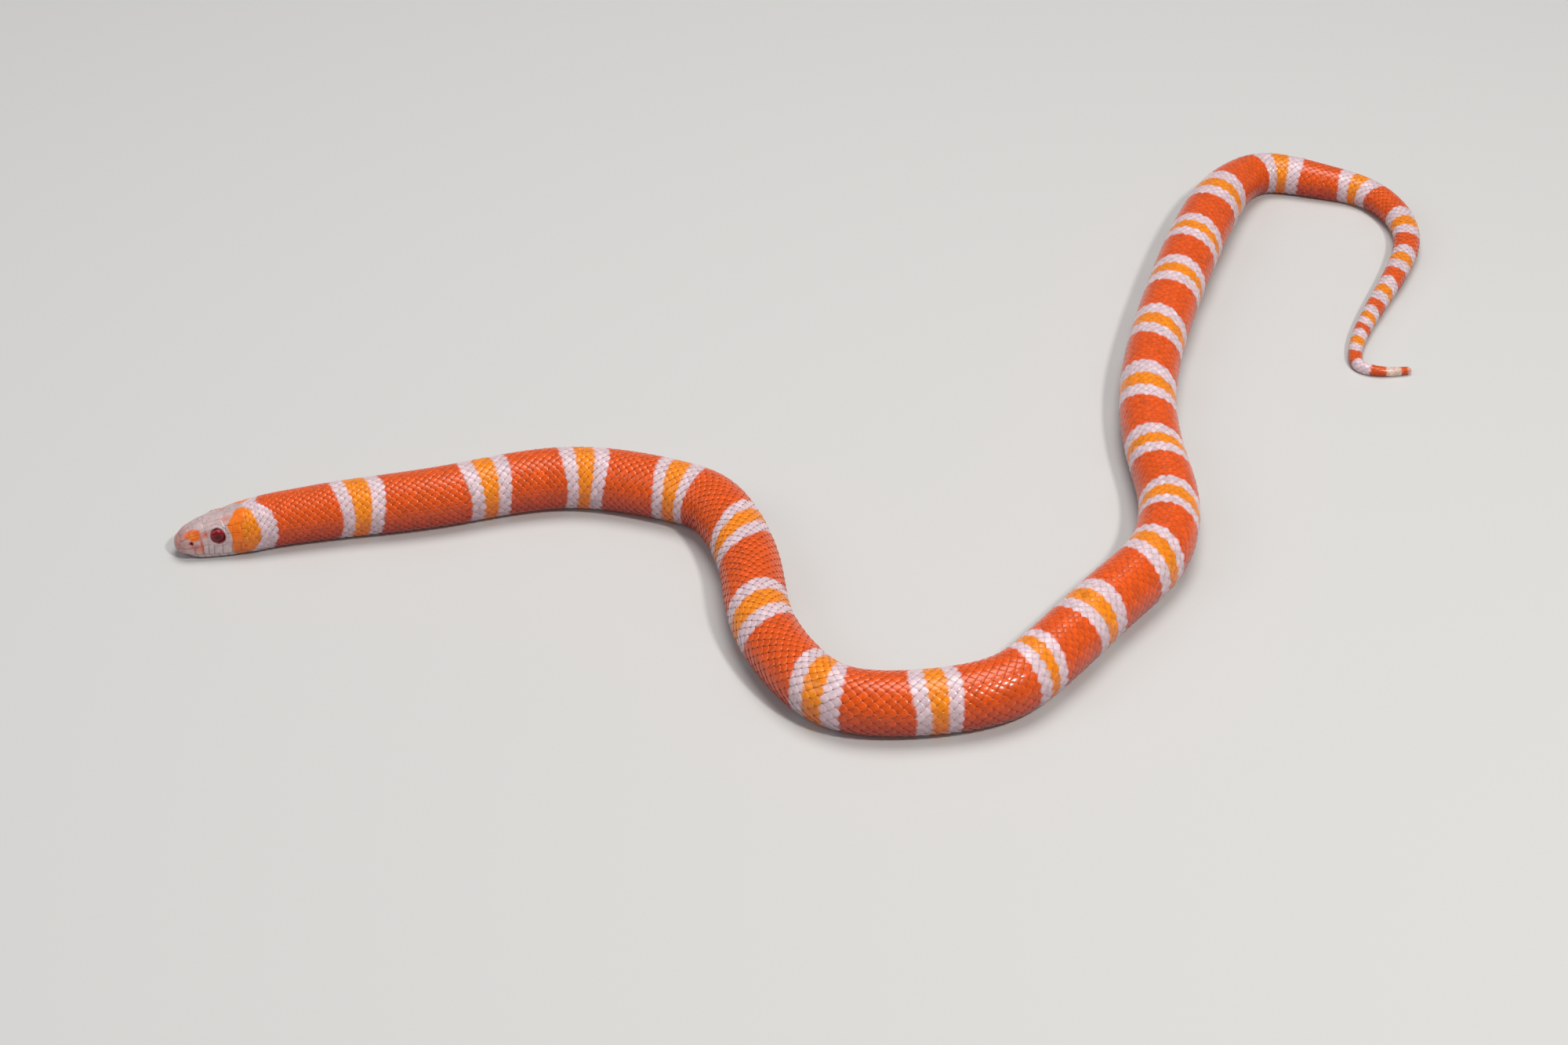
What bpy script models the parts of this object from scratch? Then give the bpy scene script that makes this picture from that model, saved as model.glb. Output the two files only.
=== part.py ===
# A milk snake at life size, lying on the floor in loose bends with its tail curled in.
# The whole animal is one run of rings along a route on the floor. It is divided into
# the upper head, the lower jaw, two eyes, the neck, eight torso lengths and four tail
# lengths, which meet face to face. Plates are raised on the head, jaw and belly: the
# head's large plates, the lip plates, the chin plates, the belly's broad scutes and the
# paired scutes under the tail. The snake is still, so nothing moves.

import math

import bmesh
import bpy
import numpy as np

# All sizes below are in millimetres. MM turns them into Blender's metres.
MM = 0.001

# The backbone's route on the floor, from the snout to the tail tip: x and y.
ROUTE = [
    (-178.2, -59.9), (-155.0, -53.3), (-132.2, -48.3), (-107.9, -43.2), (-76.0, -35.9),
    (-47.3, -41.9), (-36.1, -49.2), (-27.0, -73.5), (-23.6, -95.9), (-11.5, -119.0),
    (2.3, -126.4), (30.4, -123.4), (44.4, -113.5), (66.0, -86.6), (79.3, -68.8),
    (84.8, -46.7), (83.7, -22.9), (85.6, 9.2), (96.9, 52.0), (107.5, 82.6),
    (115.6, 102.9), (123.8, 118.5), (135.2, 128.1), (152.4, 124.9), (167.8, 117.3),
    (175.3, 99.2), (171.0, 79.2), (160.0, 57.3), (152.6, 42.4), (149.3, 33.3),
    (149.1, 25.6), (154.9, 22.9), (163.9, 23.9),
]

# Girth along the body: distance from the snout, width, height, height of the widest
# line as a share of the height, squareness (2 is an ellipse, more is boxier), and how
# much narrower the crown is than the widest line, as a share.
GIRTH = [
    (0.0, 8.0, 6.6, 0.40, 2.3, 0.05),
    (3.0, 8.8, 7.9, 0.36, 2.5, 0.10),
    (6.0, 10.1, 9.3, 0.32, 2.7, 0.16),
    (10.0, 11.4, 10.2, 0.30, 2.8, 0.18),
    (13.5, 12.9, 10.9, 0.34, 2.6, 0.14),
    (17.0, 14.0, 11.6, 0.38, 2.4, 0.09),
    (21.0, 14.5, 12.2, 0.43, 2.2, 0.04),
    (26.0, 14.6, 12.8, 0.46, 2.05, 0.0),
    (32.0, 14.8, 13.2, 0.46, 2.0, 0.0),
    (40.0, 15.2, 13.7, 0.46, 2.0, 0.0),
    (60.0, 15.9, 14.4, 0.46, 2.0, 0.0),
    (80.0, 16.2, 14.8, 0.46, 2.0, 0.0),
    (110.0, 16.7, 15.3, 0.46, 2.0, 0.0),
    (170.0, 16.1, 14.8, 0.46, 2.0, 0.0),
    (230.0, 15.9, 14.6, 0.46, 2.0, 0.0),
    (310.0, 16.5, 15.2, 0.46, 2.0, 0.0),
    (410.0, 15.8, 14.5, 0.46, 2.0, 0.0),
    (460.0, 16.3, 15.0, 0.46, 2.0, 0.0),
    (505.0, 16.9, 15.5, 0.46, 2.0, 0.0),
    (525.0, 16.2, 14.9, 0.46, 2.0, 0.0),
    (545.0, 13.6, 12.5, 0.46, 2.0, 0.0),
    (562.0, 12.1, 11.1, 0.46, 2.0, 0.0),
    (583.0, 9.8, 9.0, 0.46, 2.0, 0.0),
    (604.0, 8.4, 7.7, 0.46, 2.0, 0.0),
    (625.0, 7.4, 6.8, 0.46, 2.0, 0.0),
    (645.0, 6.3, 5.8, 0.46, 2.0, 0.0),
    (667.0, 5.0, 4.6, 0.46, 2.0, 0.0),
    (685.0, 3.7, 3.4, 0.46, 2.0, 0.0),
    (702.6, 2.3, 2.1, 0.46, 2.0, 0.0),
]

# The belly settles on the floor: this share of the height is pressed flat.
BELLY_SINK = 0.075
# The snout and the tail tip close as domes of these lengths.
SNOUT_DOME = 3.5
# How far the blunt snout reaches ahead of the route, and over what length that fades out.
SNOUT_REACH = 1.1
SNOUT_REACH_FADE = 5.0
TAIL_DOME = 1.4
# The middle of the snout's dome above the floor.
SNOUT_TIP_HEIGHT = 3.6

# Node limits along the body, as distances from the snout.
HEAD_END = 25.0
NECK_END = 64.0
TORSO_END = 548.0
TORSO_COUNT = 8
TAIL_ENDS = (592.0, 634.0, 672.0)
JOINT_GAP = 0.3

# Rings are spaced by a share of the body's width, and each has one point on the spine
# and this many down each flank. The last flank point is the edge of the flat belly.
RING_SPACING = 0.26
CLOSEST_RINGS = 0.8
FLANK_ANGLES = (26.0, 52.0, 78.0, 104.0, 128.0)
HEAD_RING_SPACING = 1.0

# The mouth: its line above the floor at the snout, under the eye and at the corner, as
# distances from the snout and heights, and the corner where the jaws join.
MOUTH_LINE = [(0.0, 2.8), (4.0, 2.4), (10.0, 2.1), (14.0, 2.4), (19.0, 3.6), (25.0, 4.0)]
MOUTH_CORNER = 19.0
JAW_START = 1.0
JAW_DOME = 4.6
JAW_INSET = 0.25

# The eyes: place of the centre, radii along the head, up and outwards, and the depth of
# the centre below the skin. The socket clears the eye by SOCKET_GAP.
EYE_AT = 10.4
EYE_HEIGHT = 7.0
EYE_RADIUS = 1.95
EYE_BULGE = 1.3
EYE_DEPTH = 0.5
SOCKET_GAP = 0.3

# The nostrils: distance from the snout, height, radius and depth.
NOSTRIL_AT = 3.5
NOSTRIL_HEIGHT = 5.15
NOSTRIL_RADIUS = 0.45
NOSTRIL_DEPTH = 0.8

# Plates stand this far out of the head, sink this far in, and keep this groove between
# them. Their faces are split into cells of about this size.
PLATE_RISE = 0.14
PLATE_ROOT = 0.4
PLATE_GROOVE = 0.22
PLATE_CELL = 2.2

# The head's plates. Each row across a plate gives its two ends, as a distance from the
# snout and an angle down from the crown. A negative angle is on the right side.
MIDDLE_PLATES = {
    "rostral": [(0.02, -98, 0.02, 98), (0.45, -98, 0.45, 98), (1.15, -60, 1.15, 60)],
    "frontal": [(7.0, -17, 7.0, 17), (10.6, -15, 10.6, 15), (12.6, -2, 12.6, 2)],
}
SIDE_PLATES = {
    "internasal": [(1.2, 0, 1.2, 44), (3.3, 0, 3.3, 40)],
    "prefrontal": [(3.3, 0, 3.3, 46), (7.0, 0, 7.3, 40)],
    "supraocular": [(7.2, 18, 7.6, 40), (10.6, 16, 12.5, 38)],
    "parietal": [(10.9, 17, 12.7, 40), (12.8, 1, 15.0, 42), (19.2, 1, 18.2, 38)],
    "front_nasal": [(1.2, 48, 1.2, 78), (3.0, 44, 3.0, 78)],
    "rear_nasal": [(4.0, 45, 4.0, 78), (5.8, 50, 5.8, 76)],
    "loreal": [(5.9, 50, 5.9, 74), (7.5, 46, 7.6, 74)],
    "upper_postocular": [(12.8, 42, 12.8, 60), (14.0, 44, 14.0, 60)],
    "lower_postocular": [(12.6, 62, 12.4, 80), (14.0, 62, 14.0, 80)],
    "upper_front_temporal": [(14.1, 44, 14.1, 62), (16.9, 43, 16.9, 62)],
    "lower_front_temporal": [(14.1, 63, 14.1, 81), (16.9, 63, 16.9, 82)],
    "upper_rear_temporal": [(17.0, 43, 17.0, 57), (20.0, 40, 20.0, 57)],
    "middle_rear_temporal": [(17.0, 58, 17.0, 71), (20.0, 58, 20.0, 71)],
    "lower_rear_temporal": [(17.0, 72, 17.0, 85), (20.0, 72, 20.0, 86)],
}
# Lip plates: where each starts and the last one ends, and their top edge as an angle.
UPPER_LIP_ENDS = (1.3, 4.0, 6.1, 7.5, 8.9, 11.1, 13.5, 18.4)
UPPER_LIP_TOP = 83.0
LIP_MARGIN = 0.1
LOWER_LIP_ENDS = (2.4, 4.3, 6.1, 7.9, 9.9, 12.2, 14.6, 17.2)
LOWER_LIP_SPAN = (0.97, 0.52)

# Plates of the chin, as rows of a distance and a place round the jaw: 0 is the middle of
# the chin, 1 is the lip on the left and -1 the lip on the right.
MENTAL_PLATE = [(1.06, -0.9, 1.06, 0.9), (2.3, -0.92, 2.3, 0.92)]
CHIN_PLATES = {
    "front_chin": [(2.6, 0.02, 2.6, 0.45), (6.9, 0.02, 6.9, 0.36)],
    "rear_chin": [(7.0, 0.02, 7.0, 0.33), (11.2, 0.02, 10.6, 0.31)],
}
# Where the jaw's ring points lie on that scale.
JAW_PLACES = (1.0, 0.8, 0.55, 0.35, 0.0)

# Scutes under the body and the tail: pitch, height of the step at the rear edge, and how
# far each runs before it lies flat. Those under the tail are in pairs.
SCUTE_PITCH = 4.4
TAIL_SCUTE_PITCH = 4.0
SCUTE_STEP = 0.3
SCUTE_RAMP = 1.1
SCUTE_ROOT = 0.5
SCUTE_GROOVE = 0.16
# Each scute starts this far under the one before and ends this much short of the next,
# and the first and last ones keep this far from the ends of their length of body.
SCUTE_LAP = 0.3
SCUTE_OPENING = 0.02
SCUTE_MARGIN = 0.1

RED = (0.80, 0.13, 0.03)
PALE = (0.85, 0.72, 0.70)
EYE_RED = (0.25, 0.02, 0.02)


def clear_scene():
    for leftover in list(bpy.data.objects):
        bpy.data.objects.remove(leftover, do_unlink=True)


def natural_spline(stations, values, where):
    """Values of the natural cubic spline through (stations, values) at the places where."""
    stations = np.asarray(stations, float)
    values = np.asarray(values, float)
    spans = np.diff(stations)
    count = len(stations)
    matrix = np.zeros((count, count))
    right = np.zeros_like(values)
    matrix[0, 0] = matrix[-1, -1] = 1.0
    for i in range(1, count - 1):
        matrix[i, i - 1 : i + 2] = spans[i - 1], 2 * (spans[i - 1] + spans[i]), spans[i]
        rise = (values[i + 1] - values[i]) / spans[i]
        right[i] = 6 * (rise - (values[i] - values[i - 1]) / spans[i - 1])
    bend = np.linalg.solve(matrix, right)
    cell = np.clip(np.searchsorted(stations, where, side="right") - 1, 0, count - 2)
    span = spans[cell]
    ahead = stations[cell + 1] - where
    behind = where - stations[cell]
    if values.ndim > 1:
        span, ahead, behind = span[:, None], ahead[:, None], behind[:, None]
    curve = (bend[cell] * ahead**3 + bend[cell + 1] * behind**3) / (6 * span)
    line = (values[cell] / span - bend[cell] * span / 6) * ahead
    return curve + line + (values[cell + 1] / span - bend[cell + 1] * span / 6) * behind


def smooth_table(rows, where):
    """Columns of a station table read at the places where, with soft turns between rows."""
    rows = np.asarray(rows, float)
    stations, values = rows[:, 0], rows[:, 1:]
    slopes = np.gradient(values, stations, axis=0)
    cell = np.clip(np.searchsorted(stations, where, side="right") - 1, 0, len(rows) - 2)
    span = (stations[cell + 1] - stations[cell])[:, None]
    u = (np.asarray(where, float) - stations[cell])[:, None] / span
    start, end = values[cell], values[cell + 1]
    hermite = (2 * u**3 - 3 * u**2 + 1) * start + (3 * u**2 - 2 * u**3) * end
    return hermite + span * (
        (u**3 - 2 * u**2 + u) * slopes[cell] + (u**3 - u**2) * slopes[cell + 1]
    )


class Backbone:
    """The route, read by distance from the snout."""

    def __init__(self, points):
        points = np.asarray(points, float)
        steps = np.linalg.norm(np.diff(points, axis=0), axis=1)
        knots = np.concatenate([[0.0], np.cumsum(np.sqrt(steps))])
        self.fine = natural_spline(knots, points, np.linspace(0.0, knots[-1], 8001))
        lengths = np.linalg.norm(np.diff(self.fine, axis=0), axis=1)
        self.along = np.concatenate([[0.0], np.cumsum(lengths)])
        self.length = self.along[-1]
        self.heading = np.gradient(self.fine, self.along, axis=0)

    def place(self, s):
        """The point on the floor and the unit vector to the snake's left at distance s."""
        point = [np.interp(s, self.along, self.fine[:, k]) for k in (0, 1)]
        back = [np.interp(s, self.along, self.heading[:, k]) for k in (0, 1)]
        back = np.array(back) / math.hypot(*back)
        reach = SNOUT_REACH * max(0.0, 1.0 - s / SNOUT_REACH_FADE) ** 2
        # The heading runs from the snout to the tail, so the left is turned from it.
        return np.array(point) - reach * back, np.array([back[1], -back[0]])


def dome(distance, length):
    """How far a dome of this length has opened, from 0 at its tip to 1."""
    u = np.clip(1.0 - np.asarray(distance) / length, 0.0, 1.0)
    return math.sqrt(1.0 - float(u) ** 2)


def section(s, total):
    """The body's section at distance s: half width, top, height of the widest line,
    underside, squareness and lean."""
    width, height, widest, square, lean = smooth_table(GIRTH, np.array([s]))[0]
    tip = min(dome(s, SNOUT_DOME), dome(total - s, TAIL_DOME))
    middle = SNOUT_TIP_HEIGHT if s < HEAD_END else 0.5 * height
    sink = -BELLY_SINK * height
    top = middle + (height - middle) * tip
    line = middle + (widest * height - middle) * tip
    under = middle + (sink - middle) * tip
    return 0.5 * width * tip, top, line, under, square, lean


def flank(half_width, top, line, under, square, lean, angle):
    """One point of the section, angle degrees down from the spine: sideways and up."""
    power = 2.0 / square
    turn = math.radians(angle)
    side = half_width * math.sin(turn) ** power
    lift = abs(math.cos(turn)) ** power
    if angle > 90.0:
        return side, line - (line - under) * lift
    return side * (1.0 - lean * lift), line + (top - line) * lift


def side_at_height(half_width, top, line, under, square, lean, height):
    """How far the flank stands out at a height above the floor."""
    reach = (top - line) if height >= line else (line - under)
    share = min(1.0, abs(height - line) / reach) if reach > 0 else 1.0
    side = half_width * (1.0 - share**square) ** (1.0 / square)
    return side * (1.0 - lean * share) if height >= line else side


def body_ring(s, total):
    """Half ring of the body at distance s, from the spine down to the belly's edge. The
    belly is left off the floor by the height of the scutes."""
    shape = section(s, total)
    half = [flank(*shape, angle) for angle in (0.0,) + FLANK_ANGLES]
    floor = max(SCUTE_STEP, shape[3])
    half = [(side, max(up, floor)) for side, up in half]
    half.append((side_at_height(*shape, floor), floor))
    return half


def mouth_height(s):
    return float(smooth_table(MOUTH_LINE, np.array([s]))[0, 0])


def cranium_ring(s, total):
    """Half ring of the upper head: down to the lip and in across the palate, or behind
    the corner of the mouth down to the throat."""
    shape = section(s, total)
    lip = mouth_height(s) + 0.5 * JOINT_GAP
    lip = min(lip, shape[1] - 0.2)
    lip_side = side_at_height(*shape, lip)
    angles = (0.0, 18.0, 34.0, 48.0, 60.0, 72.0)
    half = [flank(*shape, angle) for angle in angles]
    edge_up = half[-1][1]
    for share in (0.35, 0.7):
        up = edge_up + (lip - edge_up) * share
        half.append((side_at_height(*shape, up), up))
    half.append((lip_side, lip))
    if s < MOUTH_CORNER:
        half.append((0.75 * lip_side, lip))
        half.append((0.45 * lip_side, lip))
    else:
        for up in (0.3 * lip, SCUTE_STEP):
            half.append((side_at_height(*shape, up), up))
    return half


def jaw_ring(s, total):
    """Half ring of the lower jaw, from the middle of the mouth to the flat of the chin."""
    shape = section(s, total)
    open_share = dome(s - JAW_START, JAW_DOME)
    lip = mouth_height(s) - 0.5 * JOINT_GAP
    side = max(0.05, (side_at_height(*shape, lip) - JAW_INSET) * open_share)
    chin = max(PLATE_RISE, 0.8 * lip * (1.0 - open_share))
    flat = side * 0.72
    return [(0.0, lip), (side * 0.97, lip), (side, 0.75 * lip + 0.25 * chin),
            (0.5 * (side + flat) + 0.08 * side, 0.28 * lip + 0.72 * chin), (flat, chin)]


def whole_ring(half, centred=True):
    """The full ring from its left half. The first point is on the middle line."""
    start = 1 if centred else 0
    left = [(side, up) for side, up in half]
    right = [(-side, up) for side, up in reversed(half[start:])]
    return left + right


def loft(name, material, spine, rings, stations):
    """A closed body through rings of equal count, with its origin on the floor below its
    first ring."""
    origin, _ = spine.place(stations[0])
    points = []
    for s, ring in zip(stations, rings):
        centre, left = spine.place(s)
        for side, up in ring:
            x, y = centre + side * left - origin
            points.append((x * MM, y * MM, up * MM))
    count = len(rings[0])
    faces = []
    for row in range(len(rings) - 1):
        for k in range(count):
            a = row * count + k
            b = row * count + (k + 1) % count
            faces.append((a, b, b + count, a + count))
    faces.append(tuple(reversed(range(count))))
    faces.append(tuple((len(rings) - 1) * count + k for k in range(count)))
    mesh = bpy.data.meshes.new(name)
    mesh.from_pydata(points, [], faces)
    if material:
        mesh.materials.append(material)
    mesh.shade_smooth()
    mesh.set_sharp_from_angle(angle=math.radians(50.0))
    obj = bpy.data.objects.new(name, mesh)
    obj.location = (origin[0] * MM, origin[1] * MM, 0.0)
    bpy.context.scene.collection.objects.link(obj)
    return obj


def keep_largest(obj):
    """Drops every closed surface of the object but the largest."""
    shape = bmesh.new()
    shape.from_mesh(obj.data)
    bmesh.ops.triangulate(shape, faces=shape.faces)
    unseen = set(shape.faces)
    surfaces = []
    while unseen:
        surface = [unseen.pop()]
        for face in surface:
            for edge in face.edges:
                for other in edge.link_faces:
                    if other in unseen:
                        unseen.remove(other)
                        surface.append(other)
        surfaces.append(surface)

    def volume(surface):
        corners = [[vert.co for vert in face.verts] for face in surface]
        return abs(sum(a.dot(b.cross(c)) for a, b, c in corners))

    surfaces.sort(key=volume)
    loose = [face for surface in surfaces[:-1] for face in surface]
    bmesh.ops.delete(shape, geom=loose, context="FACES")
    shape.to_mesh(obj.data)
    shape.free()


def fuse(obj, pieces):
    """Joins the pieces to the object by one union and removes them."""
    group = bpy.data.collections.new("pieces")
    for piece in pieces:
        bpy.context.scene.collection.objects.unlink(piece)
        group.objects.link(piece)
    bpy.context.scene.collection.children.link(group)
    union = obj.modifiers.new("fuse", "BOOLEAN")
    union.operation = "UNION"
    union.operand_type = "COLLECTION"
    union.solver = "EXACT"
    union.collection = group
    bpy.context.view_layer.objects.active = obj
    bpy.ops.object.modifier_apply(modifier=union.name)
    for piece in pieces:
        bpy.data.objects.remove(piece, do_unlink=True)
    bpy.data.collections.remove(group)
    keep_largest(obj)


def finish(name, colour, roughness):
    material = bpy.data.materials.new(name)
    material.use_nodes = True
    shader = material.node_tree.nodes["Principled BSDF"]
    shader.inputs["Base Color"].default_value = (*colour, 1.0)
    shader.inputs["Roughness"].default_value = roughness
    shader.inputs["Metallic"].default_value = 0.0
    return material


def head_surface(spine):
    """The upper head's skin as a point for a distance and an angle down from the crown."""

    def at(s, angle):
        side, up = flank(*section(s, spine.length), abs(angle))
        centre, left = spine.place(s)
        x, y = centre + math.copysign(side, angle) * left
        return np.array([x, y, up])

    return at


def jaw_surface(spine):
    """The jaw's skin as a point for a distance and a place round the jaw."""

    def at(s, place):
        ring = [*jaw_ring(s, spine.length)[1:], (0.0, jaw_ring(s, spine.length)[-1][1])]
        side, up = (np.interp(-abs(place), [-p for p in JAW_PLACES], line)
                    for line in zip(*ring))
        centre, left = spine.place(s)
        x, y = centre + math.copysign(side, place) * left
        return np.array([x, y, up])

    return at


def lifted(at, s, turn, turn_step, shift):
    """A point of a surface moved out along its normal, which is found from small steps
    along the head and round it."""
    step = 0.02
    along = at(s + step, turn) - at(max(0.2 * step, s - step), turn)
    low, high = turn - turn_step, turn + turn_step
    if low < 0.0 < high:
        low, high = (0.0, turn_step) if turn >= 0.0 else (-turn_step, -0.001 * turn_step)
    normal = np.cross(along, at(s, high) - at(s, low))
    normal /= np.linalg.norm(normal)
    return at(s, turn) - normal * shift


def grid_solid(name, outer, inner):
    """A closed slab between two grids of points of equal size."""
    rows, columns = len(outer), len(outer[0])
    count = rows * columns
    points = [tuple(p * MM) for grid in (outer, inner) for row in grid for p in row]
    faces = []
    for r in range(rows - 1):
        for c in range(columns - 1):
            a = r * columns + c
            faces.append((a, a + 1, a + columns + 1, a + columns))
            faces.append(tuple(k + count for k in (a + columns, a + columns + 1, a + 1, a)))
    border = [c for c in range(columns)]
    border += [r * columns + columns - 1 for r in range(1, rows)]
    border += [(rows - 1) * columns + c for c in reversed(range(columns - 1))]
    border += [r * columns for r in reversed(range(1, rows - 1))]
    for k, a in enumerate(border):
        b = border[(k + 1) % len(border)]
        faces.append((b, a, a + count, b + count))
    mesh = bpy.data.meshes.new(name)
    mesh.from_pydata(points, [], faces)
    shape = bmesh.new()
    shape.from_mesh(mesh)
    bmesh.ops.triangulate(shape, faces=shape.faces)
    bmesh.ops.recalc_face_normals(shape, faces=shape.faces)
    shape.to_mesh(mesh)
    shape.free()
    obj = bpy.data.objects.new(name, mesh)
    bpy.context.scene.collection.objects.link(obj)
    return obj


def plate(name, rows, at, turn_step):
    """A raised plate over a surface. The rows run across it, each from end to end. On the
    underside the turns run the other way, and turn_step is then negative."""
    rows = np.array(rows, float)

    def surface(s, turn, shift):
        return lifted(at, s, turn, abs(turn_step), math.copysign(shift, turn_step * shift))

    ends = [[surface(row[0], row[1], 0.0), surface(row[2], row[3], 0.0)] for row in rows]
    ends = np.array(ends)
    wide = max(np.linalg.norm(end[1] - end[0]) for end in ends)
    steps = np.linalg.norm(np.diff(ends.mean(axis=1), axis=0), axis=1)
    deep = steps.sum()
    columns = max(2, math.ceil(wide / PLATE_CELL) + 1)
    lines = max(len(rows), math.ceil(deep / PLATE_CELL) + 1)
    inset_u = min(0.3, 0.5 * PLATE_GROOVE / wide)
    inset_v = min(0.3, 0.5 * PLATE_GROOVE / deep)
    marks = np.concatenate([[0.0], np.cumsum(steps) / deep])
    outer, inner = [], []
    for v in np.linspace(inset_v, 1.0 - inset_v, lines):
        start = [np.interp(v, marks, rows[:, k]) for k in (0, 1)]
        end = [np.interp(v, marks, rows[:, k]) for k in (2, 3)]
        top, root = [], []
        for u in np.linspace(inset_u, 1.0 - inset_u, columns):
            s, turn = (a + (b - a) * u for a, b in zip(start, end))
            top.append(surface(s, turn, PLATE_RISE))
            root.append(surface(s, turn, -PLATE_ROOT))
        outer.append(top)
        inner.append(root)
    return grid_solid(name, outer, inner)


def head_plates(spine):
    """The raised plates of the upper head, from the snout back to the temples. Those of
    the lip end just above the mouth."""
    at = head_surface(spine)
    plates = [plate(name, rows, at, 0.5) for name, rows in MIDDLE_PLATES.items()]
    lip_turns = {}
    for s in UPPER_LIP_ENDS:
        _, _, line, under, square, _ = section(s, spine.length)
        lip = mouth_height(s) + 0.5 * JOINT_GAP + LIP_MARGIN
        drop = max(0.0, line - lip) / (line - under)
        lip_turns[s] = 90.0 + math.degrees(math.asin(drop ** (0.5 * square)))
    for sign in (1, -1):
        for name, rows in SIDE_PLATES.items():
            mirrored = [(a, sign * b, c, sign * d) for a, b, c, d in rows]
            plates.append(plate(name, mirrored, at, 0.5))
        for k, (start, end) in enumerate(zip(UPPER_LIP_ENDS, UPPER_LIP_ENDS[1:])):
            rows = [(s, sign * UPPER_LIP_TOP, s, sign * lip_turns[s]) for s in (start, end)]
            plates.append(plate(f"upper_lip_{k + 1}", rows, at, 0.5))
    return plates


def jaw_plates(spine):
    """The raised plates of the lower jaw: the lip's, and those under the chin."""
    at = jaw_surface(spine)
    plates = [plate("mental", MENTAL_PLATE, at, -0.02)]
    high, low = LOWER_LIP_SPAN
    for sign in (1, -1):
        for k, (start, end) in enumerate(zip(LOWER_LIP_ENDS, LOWER_LIP_ENDS[1:])):
            rows = [(s, sign * high, s, sign * low) for s in (start, end)]
            plates.append(plate(f"lower_lip_{k + 1}", rows, at, -0.02))
        for name, rows in CHIN_PLATES.items():
            mirrored = [(a, sign * b, c, sign * d) for a, b, c, d in rows]
            plates.append(plate(name, mirrored, at, -0.02))
    return plates


def scute(spine, name, start, end, inner_share, outer_share):
    """One wedge under the belly: it starts in the body, comes down to the floor and
    ends in a step. The shares say how much of the flat half of the belly it covers."""
    total = spine.length
    stations = (start - SCUTE_LAP, start + SCUTE_RAMP, end)
    lows = (SCUTE_STEP + 0.1, 0.0, 0.0)
    top = SCUTE_STEP + SCUTE_ROOT
    rings = []
    for s, low in zip(stations, lows):
        flat = side_at_height(*section(s, total), 0.0)
        inner = inner_share * flat
        outer = outer_share * flat
        rings.append([(inner, top), (outer, top), (outer, low), (inner, low)])
    return loft(name, None, spine, rings, stations)


def belly_scutes(spine, start, end, paired):
    """The wedges of one body length, clear of its two ends by half a gap."""
    pitch = TAIL_SCUTE_PITCH if paired else SCUTE_PITCH
    first = start + 0.5 * JOINT_GAP + SCUTE_LAP + SCUTE_MARGIN
    ends = spaced(first, end - 0.5 * JOINT_GAP - SCUTE_MARGIN, pitch)
    wedges = []
    for k, (a, b) in enumerate(zip(ends, ends[1:])):
        b -= SCUTE_OPENING
        if paired:
            groove = 0.5 * SCUTE_GROOVE / side_at_height(*section(a, spine.length), 0.0)
            wedges.append(scute(spine, f"scute_{k}_left", a, b, groove, 1.0))
            wedges.append(scute(spine, f"scute_{k}_right", a, b, -1.0, -groove))
        else:
            wedges.append(scute(spine, f"scute_{k}", a, b, -1.0, 1.0))
    return wedges


def spaced(start, end, step):
    return np.linspace(start, end, max(2, round((end - start) / step) + 1))


def body_stations(start, end, total):
    """Ring places from start to end, closer where the body is thin."""
    places = [start]
    while places[-1] < end:
        width = 2.0 * section(min(places[-1], total - TAIL_DOME), total)[0]
        places.append(places[-1] + max(CLOSEST_RINGS, RING_SPACING * width))
    places = np.array(places)
    return start + (places - start) * (end - start) / (places[-1] - start)


def body_length(name, spine, start, end):
    """One length of the neck, torso or tail, with half a gap at each end."""
    total = spine.length
    first_ring = start + 0.5 * JOINT_GAP
    if end < total:
        stations = body_stations(first_ring, end - 0.5 * JOINT_GAP, total)
    else:
        shaft = body_stations(first_ring, total - TAIL_DOME, total)
        stations = np.append(shaft, [total - share * TAIL_DOME for share in (0.5, 0.2, 0.03)])
    rings = [whole_ring(body_ring(s, total)) for s in stations]
    length = loft(name, finish(name + "_scales", RED, 0.35), spine, rings, stations)
    scutes_end = min(end, total - TAIL_DOME)
    fuse(length, belly_scutes(spine, start, scutes_end, start >= TORSO_END))
    return length


def head_point(spine, s, side, up):
    centre, left = spine.place(s)
    x, y = centre + side * left
    return x * MM, y * MM, up * MM


def head_axes(spine, s, side_sign):
    """Unit vectors along the head to the tail and outwards at distance s."""
    _, left = spine.place(s)
    outward = np.array([left[0], left[1], 0.0]) * side_sign
    back = np.array([-left[1], left[0], 0.0])
    return back, outward


def ellipsoid(name, spine, side_sign, grow, rings, segments):
    """The eyeball on one side, or its socket when it is grown."""
    total = spine.length
    skin = side_at_height(*section(EYE_AT, total), EYE_HEIGHT)
    side = side_sign * (skin - EYE_DEPTH)
    bpy.ops.mesh.primitive_uv_sphere_add(segments=segments, ring_count=rings, radius=1.0)
    obj = bpy.context.active_object
    obj.name = name
    obj.data.name = name
    back, outward = head_axes(spine, EYE_AT, side_sign)
    round_radius = (EYE_RADIUS + grow) * MM
    reach = (EYE_BULGE + grow) * MM
    for vertex in obj.data.vertices:
        along, across, outwards = vertex.co.x, vertex.co.y, vertex.co.z
        shift = back * along * round_radius + outward * outwards * reach
        vertex.co = (shift[0], shift[1], across * round_radius)
    if side_sign < 0:
        obj.data.flip_normals()
    obj.location = head_point(spine, EYE_AT, side, EYE_HEIGHT)
    return obj


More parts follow.
